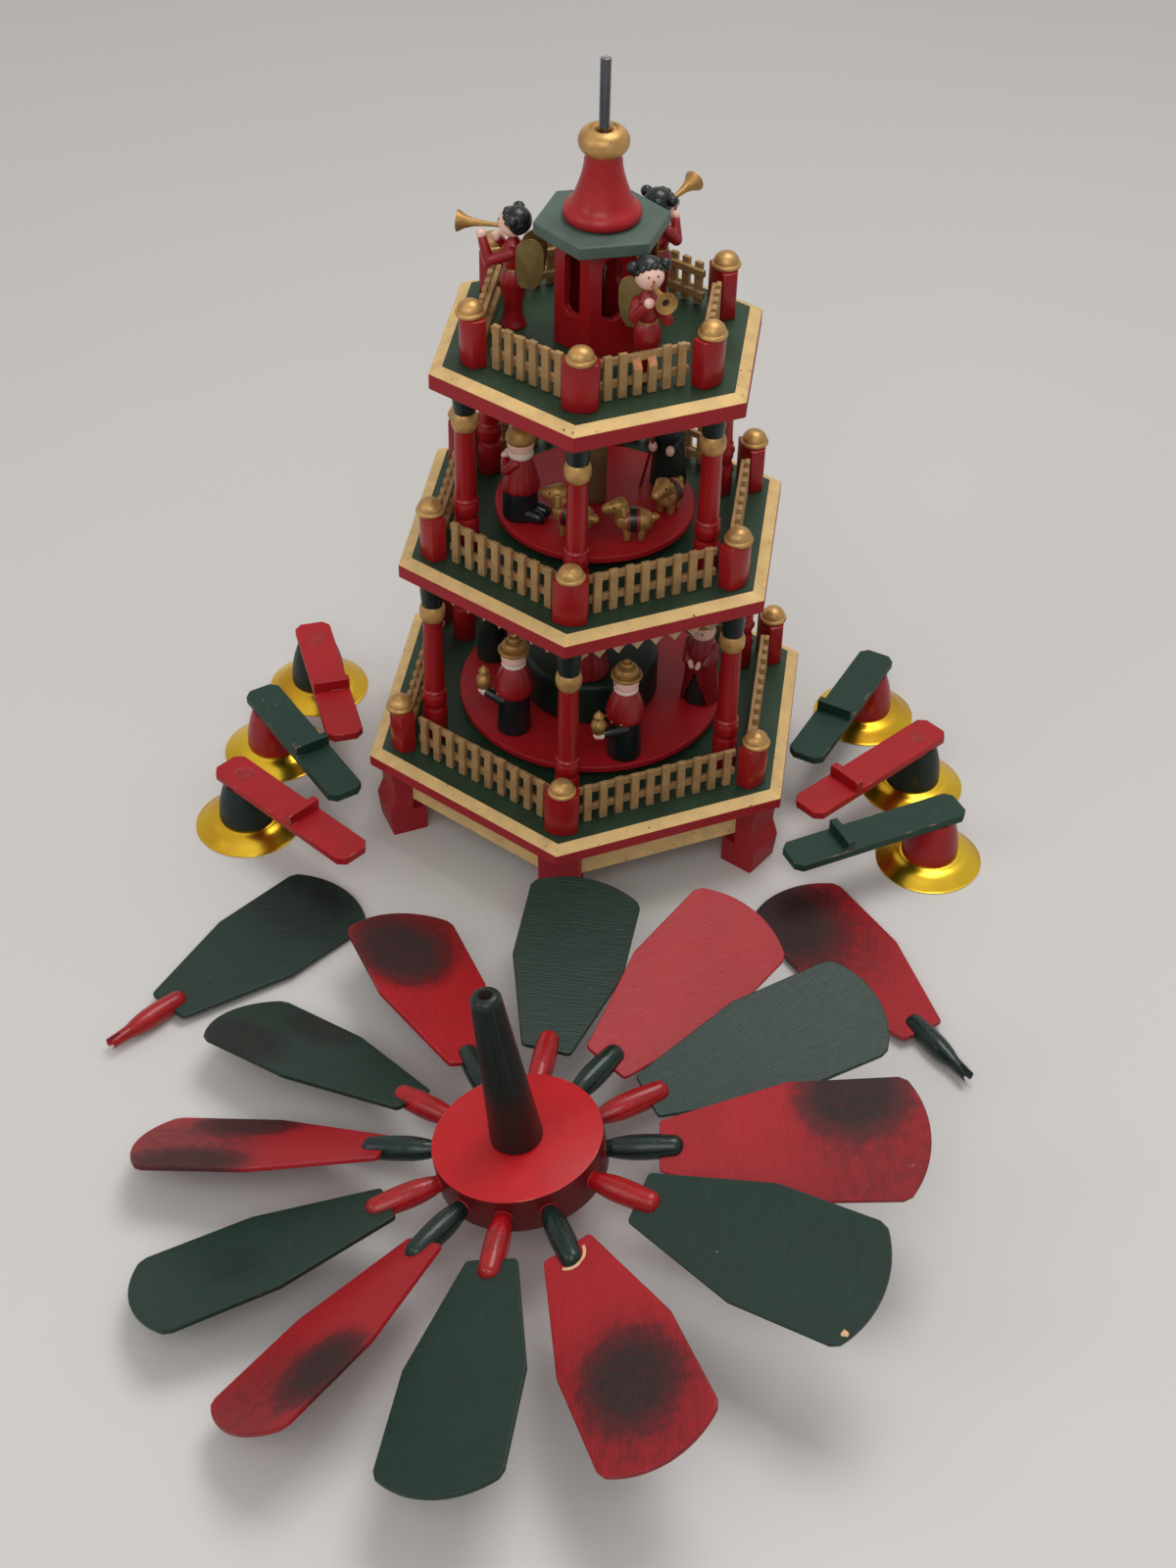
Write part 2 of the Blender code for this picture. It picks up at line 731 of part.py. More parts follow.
def add_bearing(tower):
    """The glass pivot bearing let into the base deck."""
    profile = [
        (0, 0),
        (BEARING_RADIUS, 0),
        (BEARING_RADIUS, BEARING_HIGH - 0.0008),
        (BEARING_RADIUS - 0.0008, BEARING_HIGH),
        (BEARING_DIMPLE * 1.3, BEARING_HIGH),
        (0, BEARING_HIGH - BEARING_DIMPLE),
    ]
    seat = deck_surface(BASE_TOP) - BEARING_SUNK
    made("pivot_bearing", turned(profile, ROUND), "glass", tower, (0, 0, seat))


# Figures, each standing at the origin and facing +X


def gift_bearer():
    """A wise man: skirt, bell-shaped jacket, round head, hat, and a jar on one arm."""
    profile = [
        (0, 0), (0.0070, 0), (0.0066, 0.0170), (0.0084, 0.0195), (0.0070, 0.0270), (0.0044, 0.0328),
        (0.0057, 0.0355), (0.0050, 0.0400), (0.0068, 0.0408), (0.0066, 0.0428), (0.0040, 0.0460),
        (0.0016, 0.0472), (0.0014, 0.0490), (0, 0.0494),
    ]
    body = turned(profile, TINY)
    arm = rod((0.001, 0.0062, 0.0195), (0.0100, 0.0062, 0.0150), 0.0022, 0.0019, 6)
    jar = turned([(0, 0), (0.0028, 0), (0.0036, 0.0030), (0.0016, 0.0075), (0, 0.0112)], 6)
    return fused([body, arm, placed(jar, 0.0115, 0.0062, 0.0135)])


def robed_figure():
    """A plain robed figure with a hood."""
    profile = [
        (0, 0), (0.0070, 0), (0.0058, 0.0250), (0.0044, 0.0320),
        (0.0052, 0.0345), (0.0050, 0.0410), (0.0030, 0.0450), (0, 0.0462),
    ]
    return turned(profile, TINY)


def cloaked_figure():
    """A figure in a wide cloak, with folded hands and a bonnet."""
    profile = [
        (0, 0), (0.0076, 0), (0.0060, 0.0150), (0.0068, 0.0240), (0.0036, 0.0330),
        (0.0052, 0.0355), (0.0050, 0.0400), (0, 0.0445),
    ]
    body = turned(profile, TINY)
    left = rod((0, 0.0062, 0.0275), (0.0062, 0.0052, 0.0190), 0.0022, 0.0017, 6)
    right = rod((0, -0.0062, 0.0275), (0.0062, -0.0052, 0.0190), 0.0022, 0.0017, 6)
    return fused([body, left, right])


def kneeling_mother():
    """A kneeling mother in a wide cloak, hands held out."""
    profile = [
        (0, 0), (0.0102, 0), (0.0078, 0.0110), (0.0062, 0.0190), (0.0036, 0.0230),
        (0.0050, 0.0265), (0.0046, 0.0315), (0, 0.0348),
    ]
    hands = rod((0.0020, 0, 0.0165), (0.0098, 0, 0.0150), 0.0030, 0.0018, 6)
    return combined(turned(profile, TINY), hands)


def kneeling_shepherd():
    """A kneeling figure: dark skirt with the shoes behind, flared coat and bonnet."""
    profile = [
        (0, 0), (0.0068, 0), (0.0068, 0.0095), (0.0074, 0.0115), (0.0046, 0.0285),
        (0.0052, 0.0305), (0.0057, 0.0365), (0.0036, 0.0405), (0, 0.0415),
    ]
    shoes = box(-0.0110, -0.0030, -0.0048, 0.0048, 0, 0.0042)
    arm = rod((0, 0.0045, 0.0240), (0.0080, 0.0030, 0.0200), 0.0020, 0.0016, 6)
    return fused([turned(profile, TINY), shoes, arm])


def shepherd_with_staff():
    """A robed shepherd holding a staff."""
    profile = [
        (0, 0), (0.0068, 0), (0.0056, 0.0210), (0.0058, 0.0260), (0.0036, 0.0295),
        (0.0048, 0.0315), (0.0046, 0.0365), (0, 0.0400),
    ]
    arm = rod((0, -0.0050, 0.0235), (0.0075, -0.0040, 0.0195), 0.0020, 0.0017, 6)
    staff = rod((0.0085, -0.0040, 0), (0.0078, -0.0040, 0.0360), 0.0008, 0.0008, 6)
    return fused([turned(profile, TINY), arm, staff])


def sheep():
    """A carved sheep: barrel body, four legs, neck and drooping head."""
    body = rod((-0.0080, 0, 0.0105), (0.0075, 0, 0.0110), 0.0046, 0.0042, TINY)
    legs = [
        box(x - 0.0013, x + 0.0013, y - 0.0013, y + 0.0013, 0, 0.0085)
        for x in (-0.0052, 0.0046) for y in (-0.0024, 0.0024)
    ]
    neck = rod((0.0050, 0, 0.0110), (0.0096, 0, 0.0175), 0.0033, 0.0026, 6)
    head = rod((0.0076, 0, 0.0186), (0.0148, 0, 0.0156), 0.0031, 0.0018, 6)
    return fused([body, side_by_side(legs), neck, head])


def add_turning_figures(spindle):
    """The figures that are glued on the two turntables."""
    lower = table_bottom(BASE_TOP, LOWER_TABLE_RISE) + TABLE_THICK + GAP
    middle = table_bottom(MIDDLE_TOP, MIDDLE_TABLE_RISE) + TABLE_THICK + GAP
    figures = (
        ("wise_man_left", gift_bearer, WISE_MAN_LEFT, lower, "green"),
        ("wise_man_right", gift_bearer, WISE_MAN_RIGHT, lower, "green"),
        ("cloaked_figure", cloaked_figure, CLOAKED, lower, "red"),
        ("kneeling_shepherd", kneeling_shepherd, KNEELING, middle, "red"),
        ("shepherd_with_staff", shepherd_with_staff, WITH_STAFF, middle, "black"),
    )
    for name, shape, (distance, angle, facing), height, colour in figures:
        spot = around(distance, angle, height)
        made(name, shape(), colour, spindle, spot, (0, 0, radians(facing)))


def angel():
    """A trumpet angel facing +X: fishtail dress, raised arms, trumpet and flat wings."""
    dress = [
        (0, 0), (0.0052, 0), (0.0040, 0.0075), (0.0050, 0.0195), (0.0036, 0.0255),
        (0.0044, 0.0315), (0.0018, 0.0370), (0.0018, 0.0400), (0, 0.0402),
    ]
    head = placed(ball(0.0056, sides=TINY), z=0.0430)
    buns = [rod((-0.0010, side * 0.0036, 0.0462), (-0.0012, side * 0.0068, 0.0480), 0.0024, 0.0016, 6)
            for side in (-1, 1)]
    near = rod((0, 0.0036, 0.0335), (0.0105, 0.0030, 0.0345), 0.0021, 0.0016, 6)
    far = rod((0, -0.0036, 0.0335), (0.0105, -0.0022, 0.0385), 0.0021, 0.0016, 6)
    horn = turned([(0, 0), (0.0010, 0), (0.0011, 0.0125), (0.0037, 0.0190), (0, 0.0180)], 6)
    trumpet = placed(horn, 0.0046, 0, 0.0415, pitch=90)
    tip = [(0.0052 * cos(radians(turn)), 0.0150 + 0.0060 * sin(radians(turn))) for turn in range(0, 181, 45)]
    wings = []
    for side in (-1, 1):
        wing = placed(prism([*tip, (-0.0044, 0.0020), (0.0010, 0)], -0.0004, 0.0004), roll=90)
        wings.append(placed(wing, -0.0060, side * 0.0050, 0.0180, turn=180 - side * 45))
    bridge = box(-0.0040, -0.0010, -0.0056, 0.0056, 0.0285, 0.0315)
    return fused([turned(dress, TINY), head, side_by_side(buns), near, far, trumpet, bridge, *wings])


def add_angels(tower):
    """Three trumpet angels on the top deck."""
    surface = deck_surface(TOP_TOP) + GAP
    for name, distance, angle, facing in ANGELS:
        spot = around(distance, angle, surface)
        made(name, angel(), "red", tower, spot, (0, 0, radians(facing)))


# Candle arms


def candle_arm(stop_from_tail):
    """An arm board with its stop bar, cup and drip pan, upside down, cup at the origin."""
    sheet = PAN_SHEET
    cup_top = PAN_HIGH + CUP_HIGH
    flare = PAN_RADIUS - CUP_RADIUS
    drop = CUP_RADIUS - CUP_TOP_RADIUS
    profile = [
        (0, CANDLE_DEEP),
        (CANDLE_RADIUS, CANDLE_DEEP),
        (CANDLE_RADIUS, PAN_HIGH - sheet),
        (CUP_RADIUS + flare * 0.45 - sheet, PAN_HIGH * 0.75 - sheet),
        (PAN_RADIUS - sheet, 0),
        (PAN_RADIUS, sheet),
        (CUP_RADIUS + flare * 0.45, PAN_HIGH * 0.75),
        (CUP_RADIUS, PAN_HIGH),
        (CUP_RADIUS - drop * 0.15, PAN_HIGH + CUP_HIGH * 0.4),
        (CUP_RADIUS - drop * 0.5, PAN_HIGH + CUP_HIGH * 0.75),
        (CUP_TOP_RADIUS, cup_top),
        (0, cup_top),
    ]
    cup = turned(profile, CUP_SIDES)

    half = ARM_WIDTH / 2
    near = -ARM_PAST_CUP
    far = near + ARM_LENGTH
    outline = [
        (near, -half + ARM_CORNER), (near + ARM_CORNER, -half), (far - ARM_CORNER, -half),
        (far, -half + ARM_CORNER), (far, half - ARM_CORNER), (far - ARM_CORNER, half),
        (near + ARM_CORNER, half), (near, half - ARM_CORNER),
    ]
    board = prism(outline, cup_top - GLUE, cup_top + ARM_THICK)
    stop = far - stop_from_tail
    bar = box(
        stop - ARM_STOP_WIDE / 2, stop + ARM_STOP_WIDE / 2, -half, half,
        cup_top + ARM_THICK - GLUE, cup_top + ARM_THICK + ARM_STOP_HIGH,
    )
    return fused([cup, board, bar])


def add_candle_arms(layout):
    """Six arms that lie on the table beside the tower."""
    for index, (spot, facing, stop, colour) in enumerate(ARM_PLACES):
        turn = (0, 0, radians(facing))
        made(f"candle_arm_{index + 1}", candle_arm(stop), colour, layout, (*spot, 0), turn)


# Wing wheel


def wing():
    """A wing along +X: turned stem with a slotted end, gripping a thin shaped blade."""
    profile = [
        (0, STEM_START), (STEM_TENON, STEM_START), (STEM_TENON * 1.08, STEM_NECK_AT),
        (STEM_RADIUS, STEM_SWELL_AT), (STEM_RADIUS * 0.92, STEM_END), (0, STEM_END),
    ]
    stem = placed(turned(profile, TINY), pitch=90)
    radius = (BLADE_END_HALF ** 2 + BLADE_BOW ** 2) / (2 * BLADE_BOW)
    half = [(BLADE_START, BLADE_ROOT_HALF), (BLADE_SHOULDER, BLADE_SHOULDER_HALF)]
    half.append((BLADE_END - BLADE_CORNER, BLADE_END_HALF))
    for share in (0.9, 0.5, 0.17):
        across = BLADE_END_HALF * share
        half.append((BLADE_END + BLADE_BOW - radius + sqrt(radius ** 2 - across ** 2), across))
    outline = half + [(x, -y) for x, y in reversed(half)]
    blade = prism(outline, -BLADE_THICK / 2, BLADE_THICK / 2)
    return combined(stem, blade)


def wing_angle(index):
    """Where round the hub a wing sits, in degrees."""
    return FIRST_WING - 360 / WINGS * index + WING_DRIFT[index]


def add_wheel(layout):
    """The wing wheel, leaning on its knob and its left wings."""
    wheel = marker("wheel_axis", layout, (*WHEEL_AT, WHEEL_STEM_HEIGHT))
    lean_axis = Matrix.Rotation(radians(WHEEL_LEAN_TOWARDS + 90), 3, "Z") @ Vector((1, 0, 0))
    wheel.rotation_euler = Matrix.Rotation(radians(WHEEL_LEAN), 3, lean_axis).to_euler()

    half = HUB_HIGH / 2
    hub = turned([(0, -half), (HUB_RADIUS, -half), (HUB_RADIUS, half), (0, half)], 3 * WINGS)
    sockets = []
    for index in range(WINGS):
        direction = around(1, wing_angle(index))
        start = direction * (STEM_START - RUNNING_GAP)
        sockets.append(rod(start, direction * (HUB_RADIUS + half), socket_radius(), socket_radius()))
    hub = combined(hub, side_by_side(sockets), "DIFFERENCE")
    made("wheel_hub", hub, "red", wheel)

    bore = SHAFT_RADIUS + SLEEVE_CLEARANCE
    long = WHEEL_SLEEVE_LONG
    taper = (WHEEL_SLEEVE_RADIUS - WHEEL_SLEEVE_TIP) / long
    sleeve = turned(
        [(0, 0), (WHEEL_SLEEVE_RADIUS, 0), (WHEEL_SLEEVE_TIP + taper * 0.003, long - 0.003),
         (WHEEL_SLEEVE_TIP * 0.85, long - 0.0008), (WHEEL_SLEEVE_TIP * 0.6, long), (bore, long),
         (bore, long - SLEEVE_BORE_DEEP), (0, long - SLEEVE_BORE_DEEP)],
        ROUND,
    )
    made("wheel_sleeve", sleeve, "green", wheel, (0, 0, half + GAP))

    knob_long = WHEEL_STEM_HEIGHT / cos(radians(WHEEL_LEAN)) - half - 2 * GAP
    made("wheel_knob", wheel_knob(knob_long), "green", wheel, (0, 0, -half - GAP), (pi, 0, 0))

    for index in range(WINGS):
        colour = "red" if index % 2 else "green"
        turn = (radians(WING_PITCH[index]), 0, radians(wing_angle(index)))
        made(f"wing_{index + 1}", wing(), colour, wheel, (0, 0, 0), turn)


def socket_radius():
    """Radius of the holes in the hub that the stems turn in."""
    return (STEM_TENON * 1.08 + GAP) / cos(pi / TINY)


def wheel_knob(long):
    """The turned knob on the wheel's upper side, which the wheel lies on."""
    ball_centre = long - WHEEL_KNOB_RADIUS
    profile = [
        (0, 0), (WHEEL_KNOB_NECK * 1.5, 0), (WHEEL_KNOB_NECK * 1.5, 0.0015), (WHEEL_KNOB_NECK, 0.0030),
        (WHEEL_KNOB_NECK, ball_centre - WHEEL_KNOB_RADIUS * 0.85),
    ]
    for angle in (-30, 0, 30, 60):
        radius = WHEEL_KNOB_RADIUS * cos(radians(angle))
        profile.append((radius, ball_centre + WHEEL_KNOB_RADIUS * sin(radians(angle))))
    profile.append((0, long))
    return turned(profile, ROUND)


def add_loose_wings(layout):
    """Two wings that have come out of the hub and lie on the table."""
    for name, (x, y), facing, colour in LOOSE_WINGS:
        droop = radians(LOOSE_DROOP)
        height = STEM_RADIUS + GAP + STEM_SWELL_AT * sin(droop)
        start = around(STEM_START * cos(droop), facing)
        turn = (0, droop, radians(facing))
        made(name, wing(), colour, layout, (x - start.x, y - start.y, height), turn)


def centre_on_origin(layout):
    """Move the whole layout so that its box is centred over the origin."""
    bpy.context.view_layer.update()
    corners = [
        ob.matrix_world @ vertex.co
        for ob in bpy.data.objects if ob.type == "MESH" for vertex in ob.data.vertices
    ]
    for axis in (0, 1):
        values = [corner[axis] for corner in corners]
        layout.location[axis] -= (min(values) + max(values)) / 2


def build():
    """Make every piece of the pyramid."""
    clear_scene()
    layout = marker("layout")
    tower = marker("tower", layout)
    spindle = marker("spindle_axis", tower)
    add_foot_frame(tower)
    add_decks(tower)
    add_balustrade("base_balustrade", tower, deck_surface(BASE_TOP), BASE_POST_OUT, BASE_SLATS)
    add_balustrade("middle_balustrade", tower, deck_surface(MIDDLE_TOP), MIDDLE_POST_OUT, MIDDLE_SLATS)
    add_balustrade("top_balustrade", tower, deck_surface(TOP_TOP), TOP_POST_OUT, TOP_SLATS, broken_side=1)
    add_columns(tower)
    add_valance(tower)
    add_gazebo(tower)
    add_angels(tower)
    add_bearing(tower)
    add_spindle(spindle)
    add_turning_figures(spindle)
    add_candle_arms(layout)
    add_wheel(layout)
    add_loose_wings(layout)
    centre_on_origin(layout)


build()
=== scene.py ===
# %% [markdown]
# # A Christmas pyramid, taken down and laid out on a table
#
# A candle pyramid is a wooden tower whose figures turn in the warm air of its candles. Here it has
# been taken apart for storage: the tower stands at the back, the six candle arms lie upside down
# beside it, and the wing wheel lies in front with two of its wings pulled out. The solids already
# have every piece at its real size. This script gives each one its worn paint, its gilding and its
# small turned shapes, and leaves it where it lies.

# %% Load the solids
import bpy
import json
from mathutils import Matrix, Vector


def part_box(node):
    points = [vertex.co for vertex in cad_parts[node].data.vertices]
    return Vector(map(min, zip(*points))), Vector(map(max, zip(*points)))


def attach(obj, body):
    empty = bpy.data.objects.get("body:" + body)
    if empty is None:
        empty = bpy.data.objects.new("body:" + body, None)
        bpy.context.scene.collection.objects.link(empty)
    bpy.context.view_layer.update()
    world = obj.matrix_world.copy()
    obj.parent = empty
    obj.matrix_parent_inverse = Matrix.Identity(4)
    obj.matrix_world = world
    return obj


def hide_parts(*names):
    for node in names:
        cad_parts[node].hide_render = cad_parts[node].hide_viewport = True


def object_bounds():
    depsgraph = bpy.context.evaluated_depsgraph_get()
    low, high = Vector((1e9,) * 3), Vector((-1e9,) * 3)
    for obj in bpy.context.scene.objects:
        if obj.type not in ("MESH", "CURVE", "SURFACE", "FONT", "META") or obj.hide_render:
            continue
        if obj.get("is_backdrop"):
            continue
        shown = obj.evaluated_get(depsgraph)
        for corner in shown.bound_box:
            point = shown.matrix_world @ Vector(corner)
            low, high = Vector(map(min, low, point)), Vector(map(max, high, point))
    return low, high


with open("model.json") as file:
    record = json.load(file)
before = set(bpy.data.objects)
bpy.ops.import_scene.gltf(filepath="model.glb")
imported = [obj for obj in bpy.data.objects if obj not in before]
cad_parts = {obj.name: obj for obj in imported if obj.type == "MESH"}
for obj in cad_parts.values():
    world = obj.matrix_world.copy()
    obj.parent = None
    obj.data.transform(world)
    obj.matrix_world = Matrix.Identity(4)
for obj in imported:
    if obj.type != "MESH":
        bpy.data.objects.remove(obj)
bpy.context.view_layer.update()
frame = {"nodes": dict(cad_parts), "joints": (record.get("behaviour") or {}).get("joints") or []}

# %% The modelling tools
import json
from math import atan2, cos, degrees, pi, radians, sin, sqrt
from random import Random

import bmesh
import bpy
import numpy as np
from mathutils import Matrix, Vector

MM = 0.001

# %% [markdown]
# ## Where things are
#
# Every place comes from the solids. The shaft's box gives the axis of the tower, the farthest
# corner of a deck gives its size and its turn, and the points of a wing give the line it lies
# along. Reading them here means that nothing has to be fitted by eye afterwards.

# %% Read places from the solids
def points_of(node):
    """Every different corner of a solid, as an array of rows."""
    spots = {tuple(round(c, 6) for c in v.co) for v in frame["nodes"][node].data.vertices}
    return np.array(sorted(spots))


rod_low, rod_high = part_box("spindle_rod")
SHAFT = Vector(((rod_low.x + rod_high.x) / 2, (rod_low.y + rod_high.y) / 2, 0))


def hexagon_of(node):
    """Corner radius of a six-sided board round the shaft, and the angle of its front left corner."""
    offsets = points_of(node)[:, :2] - np.array(SHAFT.xy)
    far = offsets[np.argmax(np.hypot(offsets[:, 0], offsets[:, 1]))]
    return float(np.hypot(*far)), degrees(atan2(far[1], far[0])) % 60 + 180


def around(distance, angle, height=0.0):
    """A point at this distance and angle round the shaft."""
    return SHAFT + Vector((distance * cos(radians(angle)), distance * sin(radians(angle)), height))


BASE_RADIUS, FIRST_CORNER = hexagon_of("base_deck")
MIDDLE_RADIUS = hexagon_of("middle_deck")[0]
TOP_RADIUS = hexagon_of("top_deck")[0]
SURFACE = {tier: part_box(tier + "_deck")[1].z for tier in ("base", "middle", "top")}
CORNERS = [FIRST_CORNER + 60 * k for k in range(6)]
SIDES = [corner - 60 for corner in CORNERS]
print("shaft at", tuple(SHAFT), "decks", BASE_RADIUS, MIDDLE_RADIUS, TOP_RADIUS, "turned", FIRST_CORNER)

# %% [markdown]
# ## Node helpers
#
# A material is a small graph, and writing it out link by link hides what it does. These helpers
# keep each step to one line: one fills in a node's inputs, one adds a node that way, and one starts
# a node group with named sockets. Effects that several finishes share are groups, made once.

# %% Node and group makers
def fill(tree, made, inputs):
    """Fill in a node's inputs: a socket is linked, anything else is the value."""
    for key, value in inputs.items():
        if isinstance(value, bpy.types.NodeSocket):
            tree.links.new(value, made.inputs[key])
        else:
            made.inputs[key].default_value = value
    return made


def node(tree, kind, inputs=None, **settings):
    """Add a shader node with its settings and its inputs, and return its outputs."""
    made = tree.nodes.new("ShaderNode" + kind)
    for name, value in settings.items():
        setattr(made, name, value)
    return fill(tree, made, inputs or {}).outputs


def group(name, inputs, outputs):
    """Start a node group and return its tree, its inputs and its output node."""
    tree = bpy.data.node_groups.new(name, "ShaderNodeTree")
    for direction, sockets in (("INPUT", inputs), ("OUTPUT", outputs)):
        for label, kind in sockets.items():
            tree.interface.new_socket(label, in_out=direction, socket_type="NodeSocket" + kind)
    return tree, tree.nodes.new("NodeGroupInput").outputs, tree.nodes.new("NodeGroupOutput")


def effect(tree, inner, **inputs):
    """Place a shared effect in a material and return its outputs."""
    return node(tree, "Group", inputs, node_tree=inner)


def noise(tree, vector, scale, detail=3.0, roughness=0.55):
    """The value of a noise texture."""
    inputs = {"Vector": vector, "Scale": scale, "Detail": detail, "Roughness": roughness}
    return node(tree, "TexNoise", inputs)["Fac"]


def remap(tree, value, low, high, to_low=0.0, to_high=1.0):
    """Stretch a value from one range to another, and hold it there."""
    inputs = {"Value": value, "From Min": low, "From Max": high, "To Min": to_low, "To Max": to_high}
    return node(tree, "MapRange", inputs)["Result"]


def maths(tree, operation, first, second):
    """One sum on two values."""
    return node(tree, "Math", {0: first, 1: second}, operation=operation)[0]


def times(tree, first, second):
    """The product of two values."""
    return maths(tree, "MULTIPLY", first, second)


def mixed(tree, share, first, second, blend="MIX"):
    """Mix two colours."""
    return node(tree, "Mix", {0: share, 6: first, 7: second}, data_type="RGBA", blend_type=blend)[2]


def bumped(tree, height, strength, distance):
    """The bent normal that a height gives."""
    return node(tree, "Bump", {"Height": height, "Strength": strength, "Distance": distance})["Normal"]


def rgba(colour):
    """A linear colour with its alpha."""
    return (*colour, 1.0)


# %% [markdown]
# ## Shared effects
#
# Hand paint is never one flat colour. It pools and thins, so its tone drifts over a few
# millimetres, and the brush leaves fine ridges. Edges lose their paint first, and show the bare
# wood in broken patches. Each of these is one group, used with other numbers by every finish.

# %% Uneven paint
RIDGE_FINENESS, TONE_GAIN, DRIFT_HEIGHT = 14.0, 4.0, 1.6
UNEVEN, given, result = group(
    "uneven_paint",
    {"Vector": "Vector", "Colour": "Color", "Size": "Float", "Amount": "Float"},
    {"Colour": "Color", "Height": "Float", "Gloss": "Float"},
)
drift = noise(UNEVEN, given["Vector"], given["Size"], 4.0)
ridges = noise(UNEVEN, given["Vector"], times(UNEVEN, given["Size"], RIDGE_FINENESS), 2.0)
swing = times(UNEVEN, maths(UNEVEN, "SUBTRACT", drift, 0.5), given["Amount"])
tone = maths(UNEVEN, "ADD", times(UNEVEN, swing, TONE_GAIN), 1.0)
fill(UNEVEN, result, {
    "Colour": node(UNEVEN, "VectorMath", {0: given["Colour"], "Scale": tone}, operation="SCALE")[0],
    "Height": maths(UNEVEN, "ADD", times(UNEVEN, drift, DRIFT_HEIGHT), ridges),
    "Gloss": drift,
})

# %% Chipped edges
FLAT_FACE, SHARP_EDGE = 0.97, 0.80
CHIPS, given, result = group(
    "chipped_edges",
    {"Vector": "Vector", "Width": "Float", "Amount": "Float"},
    {"Mask": "Float", "Edge": "Float"},
)
soft = node(CHIPS, "Bevel", {"Radius": given["Width"]}, samples=4)["Normal"]
true = node(CHIPS, "NewGeometry")["Normal"]
bend = node(CHIPS, "VectorMath", {0: soft, 1: true}, operation="DOT_PRODUCT")["Value"]
edge = remap(CHIPS, bend, FLAT_FACE, SHARP_EDGE)
patches = noise(CHIPS, given["Vector"], 130.0, 5.0, 0.6)
limit = maths(CHIPS, "SUBTRACT", 0.72, times(CHIPS, given["Amount"], 0.35))
lost = remap(CHIPS, maths(CHIPS, "SUBTRACT", patches, limit), 0.0, 0.04)
fill(CHIPS, result, {"Mask": times(CHIPS, edge, lost), "Edge": edge})

# %% Specks
SPECKS, given, result = group(
    "specks", {"Vector": "Vector", "Size": "Float", "Amount": "Float"}, {"Mask": "Float"},
)
grit = noise(SPECKS, given["Vector"], given["Size"], 2.0, 0.7)
limit = maths(SPECKS, "SUBTRACT", 0.78, times(SPECKS, given["Amount"], 0.25))
fill(SPECKS, result, {"Mask": remap(SPECKS, maths(SPECKS, "SUBTRACT", grit, limit), 0.0, 0.05)})

# %% Wood grain
GRAIN, given, result = group("wood_grain", {"Vector": "Vector", "Fineness": "Float"}, {"Lines": "Float"})
squeeze = node(GRAIN, "Mapping", {"Vector": given["Vector"], "Scale": (0.06, 1.0, 0.35)})["Vector"]
fibres = noise(GRAIN, squeeze, given["Fineness"], 5.0, 0.65)
fill(GRAIN, result, {"Lines": remap(GRAIN, fibres, 0.32, 0.68)})
print("shared effects:", [g.name for g in bpy.data.node_groups])

# %% [markdown]
# ## Finishes
#
# The tower has a handful of finishes: red and green lacquer, a cream gold on the deck bands, a
# browner gold on knobs and pickets, black enamel and doll skin on the figures, bright steel, and
# the yellow foil brass of the drip pans. Most are one recipe with other numbers. Chips are only on
# pieces that were handled, because a chip on everything looks like a pattern.

# %% The painted finish recipe
FINISH = {}
BARE_WOOD = (0.56, 0.33, 0.19)
CHIP_WIDTH = 0.9 * MM


def new_finish(name):
    """A new material's tree, its shader and its Object coordinates."""
    material = bpy.data.materials.new(name)
    material.use_nodes = True
    FINISH[name] = material
    tree = material.node_tree
    return tree, tree.nodes["Principled BSDF"], node(tree, "TexCoord")["Object"]


def painted(name, colour, roughness, *, amount=0.10, size=70.0, bump=0.10, lumps=0.3, coat=0.0,
            shine=0.3, metallic=0.0, chips=0.0, specks=0.0, speck_colour=(0.16, 0.075, 0.02), speck_size=420.0):
    """A brushed paint, with bare wood at its chipped edges and specks where they are asked for."""
    tree, shader, place = new_finish(name)
    film = effect(tree, UNEVEN, Vector=place, Colour=rgba(colour), Size=size, Amount=amount)
    shade = film["Colour"]
    if specks:
        spots = effect(tree, SPECKS, Vector=place, Size=speck_size, Amount=specks)["Mask"]
        shade = mixed(tree, spots, shade, rgba(speck_colour))
    rough = remap(tree, film["Gloss"], 0.3, 0.7, roughness * 0.85, min(1.0, roughness * 1.2))
    if chips:
        worn = effect(tree, CHIPS, Vector=place, Width=CHIP_WIDTH, Amount=chips)["Mask"]
        shade = mixed(tree, worn, shade, rgba(BARE_WOOD))
        rough = maths(tree, "MAXIMUM", rough, times(tree, worn, 0.8))
    fill(tree, shader, {
        "Base Color": shade, "Roughness": rough, "Normal": bumped(tree, film["Height"], bump, lumps * MM),
        "Metallic": metallic, "Specular IOR Level": shine, "Coat Weight": coat, "Coat Roughness": 0.12,
    })


# %% Paints on the tower, the arms and the wheel
painted("red_lacquer", (0.29, 0.006, 0.009), 0.30, coat=0.10, bump=0.20)
painted("deck_red", (0.31, 0.010, 0.016), 0.50, amount=0.12, bump=0.25,
        specks=0.10, speck_colour=(0.07, 0.008, 0.01))
painted("bell_red", (0.37, 0.007, 0.011), 0.34, coat=0.2, size=160.0, bump=0.35,
        specks=0.22, speck_colour=(0.50, 0.06, 0.06), speck_size=700.0)
painted("turntable_red", (0.33, 0.007, 0.012), 0.42, bump=0.12, specks=0.10, speck_colour=(0.10, 0.006, 0.008))
# The hub's sides get a far darker copy of the hub's red: painted shade, since the sides face away from the light
# from above.
painted("hub_side_painted_shade", (0.10, 0.002, 0.003), 0.40, amount=0.25, size=60.0, bump=0.2)
painted("hub_red", (0.46, 0.009, 0.013), 0.42, bump=0.14, chips=0.5,
        specks=0.08, speck_colour=(0.62, 0.15, 0.15))
